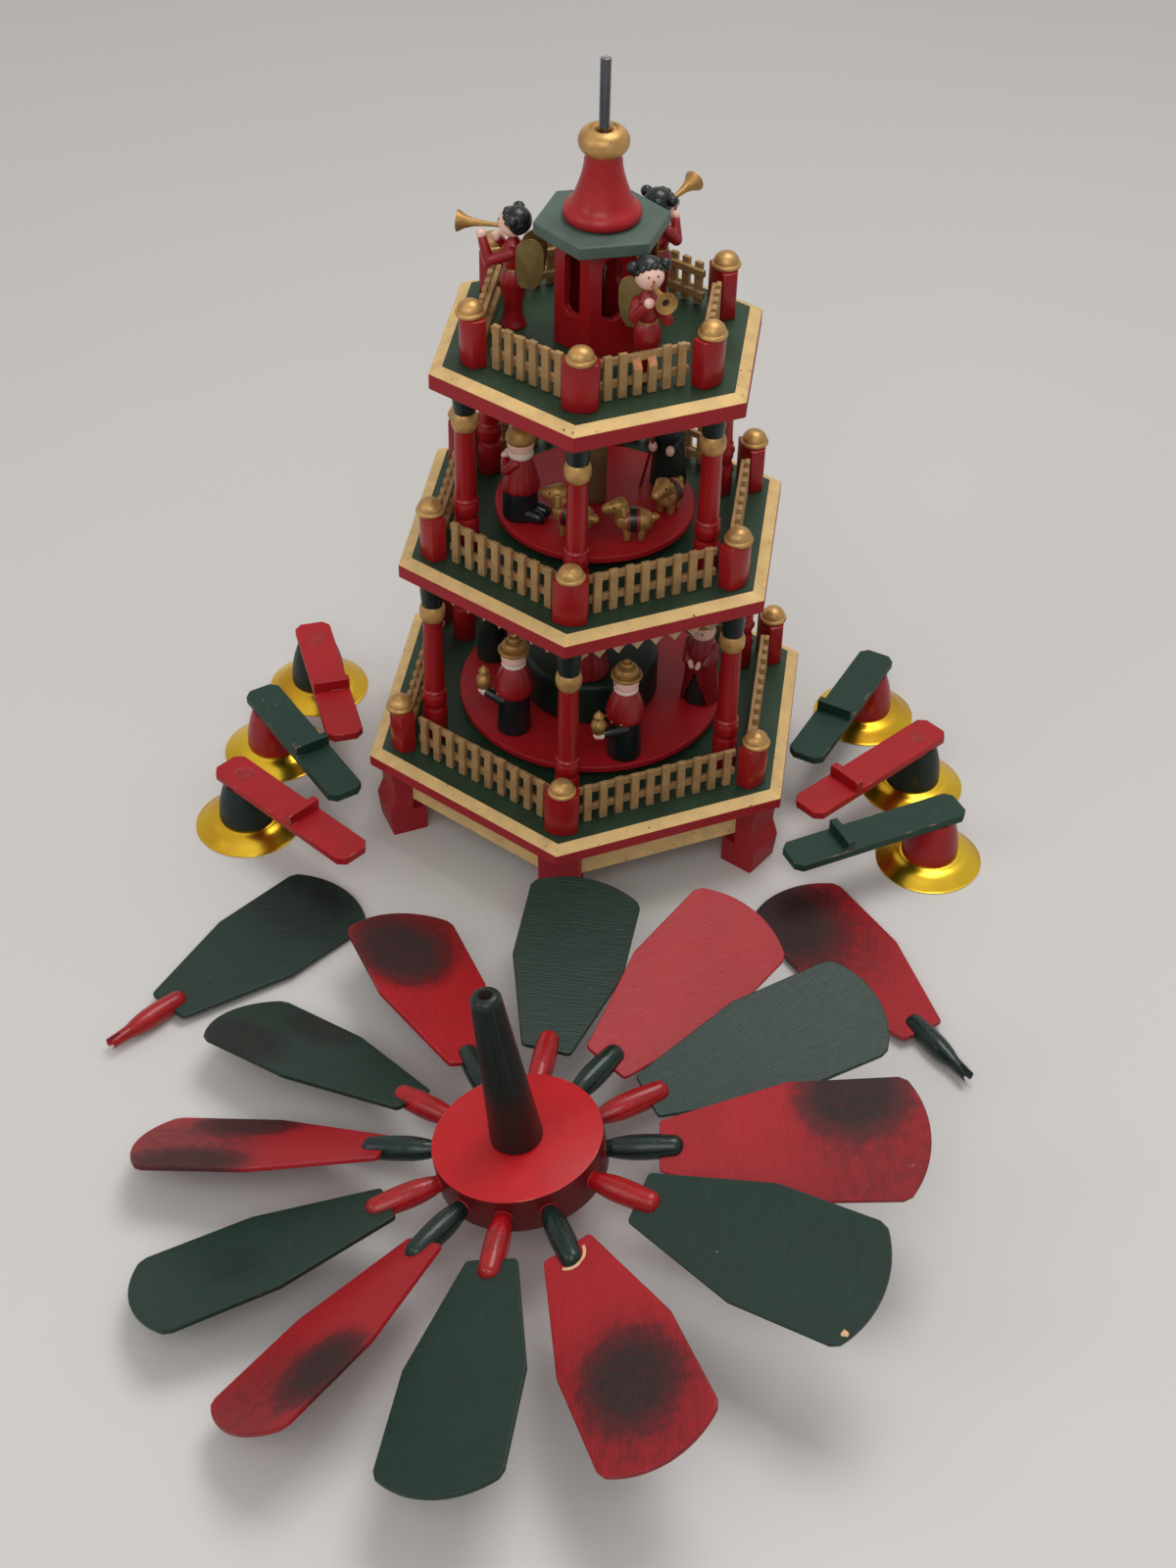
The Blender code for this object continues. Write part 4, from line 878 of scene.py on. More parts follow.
def picket_panel(tier, broken):
    """The slats and rails of one side, outer face towards +Y."""
    face = (POST_OUT[tier] - FENCE_INSET) * cos(pi / 6)
    reach = face / sqrt(3) - POST_HALF / sin(pi / 3)
    back = face - SLAT[1]
    parts = []
    for low in RAIL_HEIGHTS:
        rail = block((2 * reach + 2 * MM, *RAIL), (0, back - RAIL[0] / 2, low + RAIL[1] / 2))
        parts.append((rounded(rail, 0.2 * MM, 1), "picket_gold", 20))
    pitch = 2 * reach / SLATS[tier]
    for index in range(SLATS[tier]):
        torn = index in broken
        high = (BROKEN_HIGH if torn else SLAT[2]) - draw.uniform(0, 0.6) * MM
        bm = block((*SLAT[:2], high - 0.3 * MM), (0, 0, high / 2 + 0.15 * MM))
        if torn:
            snapped(bm, high)
        coloured(bm, lambda spot: torn and spot.z > high * 0.85)
        rounded(bm, 0.16 * MM, 1)
        moved(bm, pitch=draw.uniform(-0.6, 0.6))
        moved(bm, x=-reach + pitch * (index + 0.5), y=back + SLAT[1] / 2)
        parts.append((bm, ("picket_gold", "torn_wood"), 20))
    return parts


for tier, surface in SURFACE.items():
    middle = SLATS[tier] // 2
    fences = []
    for k, turn in enumerate(SIDES):
        broken = (middle - 1, middle) if (tier, k) == ("top", 1) else ()
        fences += [(moved(bm, turn=turn), *finish) for bm, *finish in picket_panel(tier, broken)]
    piece(f"{tier}_pickets", fences, TOWER, [f"{tier}_balustrade"], on_axis(surface))

# %% [markdown]
# ## Columns
#
# Twelve turned columns carry the upper decks. From the foot up each has a drum, a ball, a plain
# shaft that tapers a little, a gilt ring and a dark green capital that flares under the deck. One
# profile makes them all, and the face's height picks the paint.

# %% Columns, in millimetres
COLUMN = 3.7
COLUMNS = {"lower": (17.4, 23.7), "upper": (15.0, 20.0)}  # drum, and gilt ring with capital


def column_shape(length, drum, head_long):
    """A column in millimetres on the origin, with its red, gold and green faces marked."""
    ring = length - head_long
    swell, neck = COLUMN * 1.40, COLUMN * 1.18
    foot = [(0, 0), (swell - 0.3, 0), (swell, 0.4), (swell, drum - 2.2), (swell - 0.5, drum - 1.0),
            (COLUMN * 1.16, drum - 0.3)]
    globe = [(COLUMN * 1.14, 0), (swell * 0.97, 1.7), (swell, 3.8), (swell * 0.97, 5.6), (COLUMN * 1.20, 7.2)]
    shaft = [(swell * 0.96, drum + 7.5), (swell * 0.97, drum + 8.2), (neck, drum + 9.0),
             (COLUMN * 1.10, ring - 1.2), (COLUMN * 1.13, ring - 0.2)]
    gilt = [(neck, 0), (COLUMN * 1.38, 1.6), (COLUMN * 1.44, 3.7), (COLUMN * 1.38, 5.8), (neck, 7.4)]
    head = [(COLUMN * 1.14, 7.6), (COLUMN * 1.22, 10.0), (COLUMN * 1.30, 14.0), (COLUMN * 1.34, head_long - 0.1)]
    globe, gilt, head = (
        curve_through([(radius, start + height) for radius, height in run], 3)
        for start, run in ((drum, globe), (ring, gilt), (ring, head))
    )
    bm = lathe(mm(foot + globe + shaft + gilt + head + [(0, length - 0.1)]), 32)
    return coloured(bm, lambda spot: (spot.z > (ring - 0.1) * MM) + (spot.z > (ring + 7.5) * MM))


for storey, lengths in COLUMNS.items():
    for k in range(6):
        name = f"{storey}_column_{k + 1}"
        low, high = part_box(name)
        bm = column_shape((high.z - low.z) / MM, *lengths)
        stand = Matrix.Translation(((low.x + high.x) / 2, (low.y + high.y) / 2, low.z))
        finishes = ("red_lacquer", "knob_gold", "capital_green")
        piece(f"{name}_turned", [(bm, finishes)], TOWER, [name], stand)

# %% [markdown]
# ## Valance and bearing
#
# Bare zigzag boards hang behind the columns under the middle deck, and a glass cup in the base deck
# holds the point of the shaft. Both solids have the right shape already, so they stay, and only get
# their wood and their glass.

# %% Valance and bearing
for name, finish in (("valance_ring", "bare_wood"), ("pivot_bearing", "bearing_glass")):
    solid = frame["nodes"][name]
    solid.data.materials.clear()
    solid.data.materials.append(FINISH[finish])

# %% [markdown]
# ## Gazebo, roof and spire
#
# The gazebo on the top deck is a hexagonal drum with a round-ended window in every side, so the
# turning shaft shows. Each wall is a rectangle bridged to its window outline, the six are merged at
# their corners, and a Solidify gives the ring its thickness.

# %% Gazebo walls
drum_low, drum_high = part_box("gazebo_drum")
DRUM_RADIUS, DRUM_TURN = hexagon_of("gazebo_drum")
WINDOW_HALF = 4.0 * MM
WINDOW = (15.0 * MM, 41.0 * MM)
WALL = 3.0 * MM


def wall_with_window(high):
    """One wall of the gazebo, facing +Y, as a flat sheet with a window."""
    half = DRUM_RADIUS / 2
    quarter = [22.5 * step for step in range(9)]
    window = arc(0, WINDOW[0] + WINDOW_HALF, WINDOW_HALF, [180 + angle for angle in quarter])
    window += arc(0, WINDOW[1] - WINDOW_HALF, WINDOW_HALF, quarter)
    rim = [(-half + half * step / 4, 0) for step in range(9)]
    rim += [(half - half * step / 4, high) for step in range(9)]
    bm = bmesh.new()
    loops = []
    for outline in (window, rim):
        spots = [bm.verts.new((x, DRUM_RADIUS * cos(pi / 6), z)) for x, z in outline]
        loops += [bm.edges.new(pair) for pair in zip(spots, spots[1:] + spots[:1])]
    bmesh.ops.bridge_loops(bm, edges=loops)
    return bm


walls = bmesh.new()
for k in range(6):
    poured(moved(wall_with_window(drum_high.z - drum_low.z), turn=DRUM_TURN + 60 * (k - 1)), walls)
bmesh.ops.remove_doubles(walls, verts=walls.verts, dist=1e-5)
bmesh.ops.recalc_face_normals(walls, faces=walls.faces)
if walls.faces[0].normal.dot(walls.faces[0].calc_center_median() * Vector((1, 1, 0))) < 0:
    bmesh.ops.reverse_faces(walls, faces=walls.faces)
stand = on_axis(drum_low.z)
drum = piece("gazebo_walls", [(walls, "red_lacquer", 20)], TOWER, ["gazebo_drum"], stand)
shell = drum.modifiers.new("wall", "SOLIDIFY")
shell.thickness = WALL
shell.offset = -1
shell.use_even_offset = True
soften = drum.modifiers.new("soften", "BEVEL")
soften.width = 0.35 * MM
soften.segments = 2
soften.limit_method = "ANGLE"
soften.angle_limit = radians(40)
soften.harden_normals = True

# %% Roof board
roof_low, roof_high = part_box("gazebo_roof")
ROOF_RADIUS, ROOF_TURN = hexagon_of("gazebo_roof")
roof = lofted([
    (ROOF_RADIUS, roof_low.z, 6, ROOF_TURN), (ROOF_RADIUS, roof_high.z, 6, ROOF_TURN),
    (HOLE, roof_high.z, LOOP_POINTS, ROOF_TURN), (HOLE, roof_low.z, LOOP_POINTS, ROOF_TURN),
])
rounded(roof, 0.6 * MM, 2, 40)
# The roof's lightened green carries a painted sheen.
piece("roof_board", [(roof, "roof_green", 8)], TOWER, ["gazebo_roof"], on_axis())

# %% Spire, in millimetres
foot, neck, rise = 14.8, 7.1, 23.5
collar, bore = 9.6, 2.8
lip = [(bore, 0), (foot - 1.2, 0), (foot - 0.3, 0.6), (foot + 0.1, 1.7), (foot, 3.0), (foot - 0.5, 4.2),
       (foot - 1.4, 5.1)]
flare = [step / 16 for step in range(1, 17)]
bell = [(neck + (foot - 2.4 - neck) * (1 - t) ** 1.6, 5.3 + (rise - 5.5) * t) for t in flare]
gilt = [(neck * 0.97, rise - 0.1), (neck * 0.94, rise + 2.0)]
gilt += arc(neck * 0.62, rise + 6.7, collar - neck * 0.62, range(-50, 66, 8), 5.1)
top = rise + 11.7
gilt += [(bore * 1.9, top), (bore * 1.75, top - 0.7), (bore * 1.55, top - 0.5), (bore * 1.25, top - 0.6),
         (bore, top - 1.6)]
bm = lathe(mm(lip + bell + gilt), 64, ring=True)
coloured(bm, lambda spot: spot.z > (rise + 1.5) * MM and spot.xy.length > bore * 1.02 * MM)
stand = on_axis(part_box("spire")[0].z)
piece("bell_spire", [(bm, ("bell_red", "knob_gold"))], TOWER, ["spire"], stand)

# %% [markdown]
# ## Shaft and turntables
#
# A steel rod on a glass bearing carries two red discs. On the lower disc stands a round green
# pedestal, and a gilt sleeve on the middle disc keeps it at its height. All of it turns, so these
# pieces ride on the spindle and not on the tower.

# %% Shaft, discs, pedestal and sleeve
ROD = 2.1 * MM
TABLE_THICK = 3.0 * MM
PEDESTAL = (28.4 * MM, 20 * MM)


def turned_round_shaft(name, profile, finish, solid, sides=96, ring=True):
    """A turned piece on the spindle, in the place of its solid."""
    stand = on_axis(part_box(solid)[0].z)
    piece(name, [(lathe(profile, sides, ring), finish)], "spindle", [solid], stand)


def disc_profile(radius, thick, rounding):
    """A bored disc with a rounded rim."""
    bore = ROD + 0.2 * MM
    rim = arc(radius - rounding, thick - rounding, rounding, (0, 30, 60, 90))
    return [(bore, 0), (radius - 0.4 * MM, 0), (radius, 0.4 * MM), *rim, (bore, thick)]


rod_long = rod_high.z - rod_low.z
rod = [(0, 0), (ROD, 3 * MM), (ROD, rod_long - 0.5 * MM), (ROD - 0.15 * MM, rod_long - 0.15 * MM),
       (ROD - 0.5 * MM, rod_long), (0, rod_long)]
turned_round_shaft("steel_shaft", rod, "bright_steel", "spindle_rod", 32, False)
for tier in ("lower", "middle"):
    solid = tier + "_turntable"
    offsets = points_of(solid)
    flat = offsets[offsets[:, 2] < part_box(solid)[0].z + 0.1 * MM][:, :2] - np.array(SHAFT.xy)
    disc = disc_profile(float(np.hypot(flat[:, 0], flat[:, 1]).max()), TABLE_THICK, 0.7 * MM)
    turned_round_shaft(f"{tier}_disc", disc, "turntable_red", solid, 128)
block_profile = disc_profile(*PEDESTAL, 3.0 * MM)
turned_round_shaft("round_pedestal", block_profile, "pedestal_green", "pedestal")
low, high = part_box("middle_sleeve")
sleeve = disc_profile(4.5 * MM, high.z - low.z, 0.5 * MM)
turned_round_shaft("gilt_sleeve", sleeve, "sleeve_olive", "middle_sleeve", 40)

# %% [markdown]
# ## Figures on the turntables
#
# The figures are little turned dolls with carved and glued-on arms. Each is built standing at the
# origin, facing +X, from turned bodies, round limbs and small balls, and then set at its place
# round the shaft. Their measures are in millimetres. Faces are only a dot for each eye, as on the
# real ones, and the angels have a small red mouth too.

# %% Doll parts
def turned_doll(runs):
    """Turned parts from (finish, points) runs; each is closed by its own smooth profile."""
    parts = []
    for finish, spots in runs:
        profile = curve_through(mm(spots), 4)
        parts.append((lathe([(0, profile[0][1]), *profile, (0, profile[-1][1])], 32), finish))
    return parts


def stick(finish, start, end, start_radius, end_radius, sides=16):
    """A round limb as a painted part."""
    return limb(Vector(start) * MM, Vector(end) * MM, start_radius * MM, end_radius * MM, sides), finish


def bead(finish, radius, centre, stretch=(1, 1, 1), sides=20):
    """A ball as a painted part."""
    return ball(radius * MM, Vector(centre) * MM, stretch, sides), finish


def face_dots(x, y, z):
    """Two dark dot eyes on a face that looks along +X."""
    return [bead("black_enamel", 0.45, (x, side * y, z), (0.5, 1, 1.25), 10) for side in (-1, 1)]


def at_place(distance, angle, facing, height):
    """Where a figure stands on its turntable, and which way it looks."""
    return Matrix.Translation(around(distance * MM, angle, height)) @ Matrix.Rotation(radians(facing), 4, "Z")


LOWER_TOP, MIDDLE_TOP = (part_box(f"{tier}_turntable")[0].z + TABLE_THICK for tier in ("lower", "middle"))
PEDESTAL_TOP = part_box("pedestal")[0].z + PEDESTAL[1]

# %% Gift bearers
WISE_MEN = {
    "wise_man_left": ((44, 224, 150), (11.5, 6.0, 19.0)),
    "wise_man_right": ((47.5, 288, 195), (13.2, 6.6, 16.6)),
}
JAR = [(1.6, 0), (2.6, 0.3), (2.7, 1.2), (3.3, 3.2), (3.0, 5.0), (1.8, 6.6), (1.6, 7.6), (2.3, 8.2), (1.8, 9.2),
       (0.9, 10.2), (0.5, 11.1)]


def gift_bearer(hand):
    """A wise man in a bell jacket and a brimmed gold hat, holding out a jar in one hand."""
    parts = turned_doll([
        ("black_enamel", [(6.9, 0.1), (7.3, 1.2), (6.9, 9.0), (6.5, 19.6)]),
        ("dress_red", [(6.4, 18.4), (7.6, 19.4), (8.1, 21.4), (7.5, 25.4), (6.1, 30.0), (4.2, 33.4)]),
        ("white_enamel", [(4.0, 32.9), (5.0, 33.5), (5.0, 34.5), (4.4, 35.2)]),
        ("doll_skin", [(4.4, 34.4), (5.0, 35.4), (5.2, 37.4), (4.9, 40.4), (4.2, 41.0)]),
        ("hat_gold", [(4.6, 39.8), (6.2, 40.1), (6.5, 40.9), (6.2, 41.6), (5.1, 41.9)]),
        ("hat_gold", [(4.8, 41.4), (4.9, 43.0), (4.3, 44.6), (2.8, 45.4)]),
        ("hat_gold", [(2.5, 45.0), (2.6, 46.2), (2.2, 47.0), (1.4, 47.3)]),
        ("hat_gold", [(1.0, 47.1), (1.3, 47.9), (0.8, 48.6)]),
    ])
    buttons = arc(0, 0, 7.85, range(-64, 65, 32))
    parts += [bead("hat_gold", 0.62, (x, y, 20.6), sides=10) for x, y in buttons]
    shoulder, hand = Vector((1.5, 5.8, 17.4)), Vector(hand)
    cuff = shoulder.lerp(hand, 0.86)
    jar = lathe([(0, 0), *curve_through(mm(JAR), 3), (0, 11.1 * MM)], 24)
    return parts + face_dots(5.05, 1.9, 38.2) + [
        stick("black_enamel", shoulder, shoulder.lerp(hand, 0.78), 2.6, 2.1),
        stick("white_enamel", cuff, cuff.lerp(hand, 0.2), 2.2, 2.2),
        bead("doll_skin", 1.9, hand),
        (moved(jar, *(hand + Vector((-0.4, -0.4, 1.2))) * MM), "hat_gold"),
    ]


for name, (spot, hand) in WISE_MEN.items():
    piece(f"{name}_doll", gift_bearer(hand), "spindle", [name], at_place(*spot, LOWER_TOP))

# %% Robed and cloaked figures
def robed_figure():
    """A plain hooded figure that stands behind the shaft."""
    return turned_doll([
        ("dark_robe", [(6.7, 0.1), (6.9, 1.2), (6.2, 14.0), (5.6, 25.0), (4.2, 32.2)]),
        ("doll_skin", [(3.6, 31.6), (4.9, 33.4), (5.1, 37.0), (4.6, 40.6)]),
        ("hat_gold", [(5.2, 39.2), (5.4, 40.4), (4.6, 42.6), (3.0, 44.9), (1.2, 46.0)]),
    ]) + face_dots(5.0, 1.8, 37.0)


def opens_in_front(spot):
    """True where the cloak hangs open."""
    half_gap = radians(52) * max(0.0, 1 - spot.z / (18 * MM))
    return abs(atan2(spot.y, spot.x)) < half_gap


def cloaked_figure():
    """A figure in a wide dark cloak that opens over a black skirt, hands folded."""
    parts = turned_doll([
        ("black_enamel", [(6.6, 0.1), (6.8, 1.0), (6.0, 9.0), (4.8, 16.0)]),
        ("doll_skin", [(3.4, 32.2), (4.9, 33.8), (5.2, 37.0), (4.9, 39.8)]),
        ("hat_gold", [(4.9, 38.8), (5.2, 40.0), (4.4, 42.8), (2.0, 44.3)]),
    ])
    cloak = curve_through(mm([(7.6, 0.2), (6.7, 8), (6.2, 15), (6.7, 23), (5.4, 29), (3.5, 33)]), 4)
    shell = lathe([*cloak, (0, 33.2 * MM)], 40)
    front = [face for face in shell.faces if opens_in_front(face.calc_center_median())]
    bmesh.ops.delete(shell, geom=front, context="FACES")
    bmesh.ops.solidify(shell, geom=shell.faces[:], thickness=-0.5 * MM)
    bmesh.ops.recalc_face_normals(shell, faces=shell.faces)
    parts.append((shell, "cloak_red"))
    for side in (-1, 1):
        parts.append(stick("cloak_red", (0, side * 5.4, 28.2), (6.2, side * 4.0, 23.0), 2.3, 1.9))
        parts.append(stick("doll_skin", (6.9, side * 2.0, 22.8), (7.3, side * 1.3, 21.0), 1.3, 1.1))
    return parts + face_dots(5.05, 1.8, 37.0)


# %% Kneeling figures and the shepherd with his staff
def kneeling_mother():
    """A mother kneeling in a wide cloak, hands held out over the child's place."""
    parts = turned_doll([
        ("cloak_red", [(9.6, 0.1), (10.1, 1.0), (9.0, 6.0), (7.6, 11.5), (6.4, 17.0), (5.2, 20.6), (3.4, 23.2)]),
        ("doll_skin", [(3.2, 22.8), (4.7, 24.6), (5.0, 27.6), (4.6, 30.6)]),
        ("hat_gold", [(4.9, 29.0), (5.1, 30.0), (4.6, 32.2), (2.6, 34.0), (0.9, 34.7)]),
    ])
    for side in (-1, 1):
        parts.append(stick("cloak_red", (1.5, side * 4.6, 18.0), (8.0, side * 1.8, 15.4), 2.1, 1.6))
        parts.append(bead("doll_skin", 1.6, (9.3, side, 15.2)))
    return parts + face_dots(4.85, 1.7, 27.8)


def kneeling_shepherd():
    """A kneeling shepherd in a flared coat with a white collar and a gold bonnet."""
    parts = turned_doll([
        ("black_enamel", [(6.7, 0.1), (7.2, 1.0), (7.1, 7.0), (6.7, 14.6)]),
        ("dress_red", [(6.9, 12.8), (7.7, 13.8), (7.4, 16.2), (6.3, 20.6), (5.3, 25.0), (4.4, 28.2)]),
        ("white_enamel", [(4.3, 27.6), (5.1, 28.6), (5.1, 30.0), (4.5, 31.0)]),
        ("doll_skin", [(4.2, 30.4), (5.1, 31.8), (5.5, 34.6), (5.2, 37.0)]),
        ("hat_gold", [(5.5, 34.9), (5.9, 36.2), (5.2, 39.0), (3.4, 41.0), (1.2, 41.4)]),
    ])
    pleats = range(0, 360, 36)
    for hem, waist in zip(arc(0, 0, 7.6, pleats), arc(0, 0, 4.7, pleats)):
        parts.append(stick("dress_red", (*hem, 14.4), (*waist, 26.5), 0.42, 0.2, 8))
    for side in (-1, 1):
        elbow = (3.6, side * 5.4, 22.6)
        parts += [
            stick("black_enamel", (-3.6, side * 2.6, 3.4), (-9.6, side * 2.8, 2.8), 3.2, 2.6),
            stick("dress_red", (0, side * 4.4, 26.4), elbow, 2.1, 2.0),
            stick("dress_red", elbow, (5.6, side * 2.6, 25.4), 2.0, 1.6),
            bead("doll_skin", 1.6, (6.2, side * 1.3, 26.8)),
        ]
    return parts + face_dots(5.4, 1.9, 34.2)


def shepherd_with_staff():
    """A dark robed shepherd with a staff."""
    parts = turned_doll([
        ("dark_robe", [(7.3, 0.1), (7.6, 1.0), (6.9, 12.0), (6.2, 20.0), (6.0, 25.0), (4.8, 28.2), (3.5, 29.8)]),
        ("doll_skin", [(3.3, 29.2), (4.6, 31.0), (4.8, 34.0), (4.4, 36.4)]),
        ("black_enamel", [(4.8, 34.4), (5.0, 35.4), (4.4, 38.0), (2.2, 39.7)]),
    ])
    for side in (-1, 1):
        parts.append(stick("dark_robe", (0, side * 5.0, 23.5), (6.4, side * 4.0, 20.0), 2.0, 1.8))
        parts.append(bead("doll_skin", 1.8, (7.8, side * 3.8, 19.6), (1, 1, 1.3)))
    parts.append(stick("cloak_red", (10.6, -7.4, 0.9), (6.9, -1.6, 34.0), 0.65, 0.65, 10))
    return parts + face_dots(4.7, 1.7, 33.4)


# %% Set the figures down
FIGURES = (
    ("robed_doll", robed_figure, (46.6, 157, 157, LOWER_TOP), "lower_turntable", "green_paint"),
    ("cloaked_doll", cloaked_figure, (47, 351, 245, LOWER_TOP), "cloaked_figure", "red_paint"),
    ("kneeling_mother_doll", kneeling_mother, (16, 262, 262, PEDESTAL_TOP), "pedestal", "red_paint"),
    ("kneeling_shepherd_doll", kneeling_shepherd, (32, 202, 155, MIDDLE_TOP), "kneeling_shepherd", "red_paint"),
    ("staff_shepherd_doll", shepherd_with_staff, (33, 27, 245, MIDDLE_TOP), "shepherd_with_staff", "black_paint"),
)
for name, shape, spot, stands_for, slot in FIGURES:
    piece(name, shape(), "spindle", [stands_for], at_place(*spot))

# %% Sheep
def sheep():
    """A gilded sheep with a striped blanket round its middle and a drooping head."""
    parts = [
        stick("hat_gold", (-3.4, 0, 8.8), (3.0, 0, 9.2), 4.8, 4.7, 24),
        stick("hat_gold", (3.6, 0, 10.6), (5.6, 0, 14.8), 3.6, 3.2, 20),
        stick("hat_gold", (5.6, 0, 15.6), (10.8, 0, 13.8), 3.4, 2.1, 20),
        bead("hat_gold", 1.7, (-8.0, 0, 10.2), (1.4, 1, 1)),
    ]
    for start, wide, finish in ((-2.6, 1.1, "dress_red"), (-1.5, 3.0, "black_enamel"), (1.5, 1.1, "dress_red")):
        band = [(4.4, 0), (5.1, 0.15), (5.2, wide / 2), (5.1, wide - 0.15), (4.4, wide)]
        ring = moved(lathe(mm(band), 28, ring=True), pitch=90)
        parts.append((moved(ring, start * MM, 0, 9.0 * MM), finish))
    for side in (-1, 1):
        for x in (-3.2, 2.4):
            parts.append(stick("hat_gold", (x, side * 2.2, 1.5), (x, side * 2.2, 6.4), 1.4, 1.9, 12))
        parts.append(stick("hat_gold", (4.4, side * 2.9, 16.2), (3.8, side * 3.7, 13.0), 1.0, 1.2, 12))
        parts.append(bead("black_enamel", 0.5, (7.8, side * 2.6, 16.0), sides=10))
    return parts


SHEEP = ((27.4, 252, 150, 1.15), (30.8, 300, 182, 1.0), (30.5, 346, 240, 1.0))
for index, (*spot, size) in enumerate(SHEEP):
    stand = at_place(*spot, MIDDLE_TOP) @ Matrix.Scale(size, 4)
    piece(f"sheep_{index + 1}", sheep(), "spindle", ["middle_turntable"], stand)

# %% [markdown]
# ## Angels on the top deck
#
# Three trumpet angels stand still outside the gazebo. A fishtail dress, puffed sleeves, a pale
# round face under black curls with two buns, thin olive wings spread back, and a gold trumpet whose
# bell is hollow.

# %% Angel body
def angel_body():
    """An angel's dress, head, hair, face and arms, facing +X."""
    parts = turned_doll([
        ("dress_red", [(5.3, 0.1), (5.3, 0.8), (4.3, 3.6), (3.8, 7.5), (4.6, 13.0), (5.4, 18.0), (4.8, 22.0),
                       (3.4, 24.8)]),
        ("dress_red", [(3.4, 24.6), (4.4, 27.4), (4.7, 30.6), (4.1, 33.6), (2.3, 36.0), (1.7, 37.6)]),
        ("hat_gold", [(3.35, 23.9), (3.95, 24.5), (3.35, 25.1)]),
    ])
    skull = Vector((0.3, 0, 43.0))
    parts.append(bead("doll_skin", 5.5, skull, (1, 1, 0.97), 32))
    parts.append(bead("black_enamel", 5.8, (-1.4, 0, 44.2), (1, 1.02, 0.97), 32))
    for up, across in arc(0, 0, 4.9, range(-65, 66, 26)):
        curl = skull + Vector((0.53 * up - 0.425, across, 0.85 * up + 0.265))
        parts.append(bead("black_enamel", 1.6, curl, (1, 1, 0.9), 14))
    for side in (-1, 1):
        parts.append(bead("black_enamel", 2.4, (-0.8, side * 6.2, 46.4), (1, 1, 0.95), 18))
        parts.append(bead("black_enamel", 0.42, (5.2, side * 1.8, 44.9), (0.6, 1, 1.1), 10))
    parts.append(bead("dress_red", 0.6, (5.75, 0, 43.2), (0.5, 0.8, 1.1), 10))
    for shoulder, elbow, hand in (
        ((0, 3.9, 32.4), (8.6, 4.8, 28.6), (11.4, 2.4, 36.6)),
        ((0, -3.9, 32.4), (3.2, -6.0, 28.4), (6.6, -2.6, 34.4)),
    ):
        fist = Vector(hand) + (Vector(hand) - Vector(elbow)).normalized() * 1.6
        parts.append(stick("dress_red", shoulder, elbow, 2.6, 2.3))
        parts.append(stick("dress_red", elbow, hand, 2.3, 1.8))
        parts.append(bead("doll_skin", 2.0, fist, sides=18))
    return parts


# %% Trumpet and wings
HORN = [(0, 0), (0.5, 0), (1.0, 0.2), (0.9, 1.5), (0.85, 3.0), (1.1, 7.0), (1.6, 10.6), (2.6, 13.8), (4.2, 16.4),
        (4.2, 16.7), (3.8, 16.5), (1.5, 16.0), (1.2, 15.2), (0, 15.1)]
WING = [*arc(0, 15.0, 5.4, range(0, 181, 12), 6.0), (-5.3, 9.0), (-4.6, 2.6), (-3.0, 0.6), (1.6, 0),
        (4.4, 3.0), (5.3, 9.0)]


def angel(spread, horn_pitch):
    """An angel facing +X; spread is the turn of each wing from straight back."""
    parts = angel_body()
    # The inside of the hollow bell is painted dark: painted shade.
    bell = coloured(lathe(mm(HORN), 28), lambda spot: spot.xy.length < 1.3 * MM and spot.z > 15 * MM)
    parts.append((moved(bell, 4.8 * MM, 0, 41.3 * MM, pitch=horn_pitch), ("hat_gold", "recess_painted_shade")))
    for side, turn in zip((-1, 1), spread):
        plate = rounded(moved(board(mm(WING), -0.4 * MM, 0.4 * MM), roll=90), 0.15 * MM, 1, 60)
        coloured(plate, lambda spot: abs(spot.y) <= 0.38 * MM)
        moved(plate, -7.2 * MM, side * 4.0 * MM, 18.0 * MM, turn=180 - turn)
        parts.append((plate, ("wing_olive", "hat_gold"), 30))
    back = block((4 * MM, 8.0 * MM, 3 * MM), (-4.0 * MM, 0, 30 * MM))
    return parts + [(rounded(back, 0.4 * MM), "dress_red", 15)]


ANGELS = {
    "angel_left": ((34, 168, 170), (-35, -12), 90), "angel_front": ((34.5, 301, 287), (-45, 45), 84),
    "angel_back": ((33.5, 49, 52), (-45, 45), 80),
}
for name, (spot, spread, horn_pitch) in ANGELS.items():
    stand = at_place(*spot, SURFACE["top"] + 0.3 * MM)
    piece(f"{name}_doll", angel(spread, horn_pitch), TOWER, [name], stand)

# %% [markdown]
# ## Candle arms
#
# The arms lie on their drip pans. Each is a thin board with a stop bar near its tail, a turned cup
# and a pressed foil pan. The board's corners are cut, its long edges are chipped to the wood, and
# the end of the cup's peg shows through the paint as a round mark.

# %% Where each arm lies
def arm_place(node_name):
    """The cup's matrix and how far from it the stop bar is."""
    spots = points_of(node_name)
    rim = spots[spots[:, 2] < 0.3 * MM][:, :2]
    bar = spots[spots[:, 2] > spots[:, 2].max() - 0.3 * MM][:, :2]
    centre, stop = rim.mean(0), bar.mean(0)
    heading = atan2(stop[1] - centre[1], stop[0] - centre[0])
    matrix = Matrix.Translation((centre[0], centre[1], 0)) @ Matrix.Rotation(heading, 4, "Z")
    return matrix, float(np.hypot(*(stop - centre)))


# %% Arm boards, in millimetres, with a cup at the origin
PAN_HIGH, CUP_HIGH = 5.6, 18.5
CUP_END = PAN_HIGH + CUP_HIGH
ARM = (82.0, 16.0, 3.6)
ARM_PAST_CUP = 12.0
ARM_CORNER = 3.0
STOP = (3.5, 5.0)
PEG = 4.0


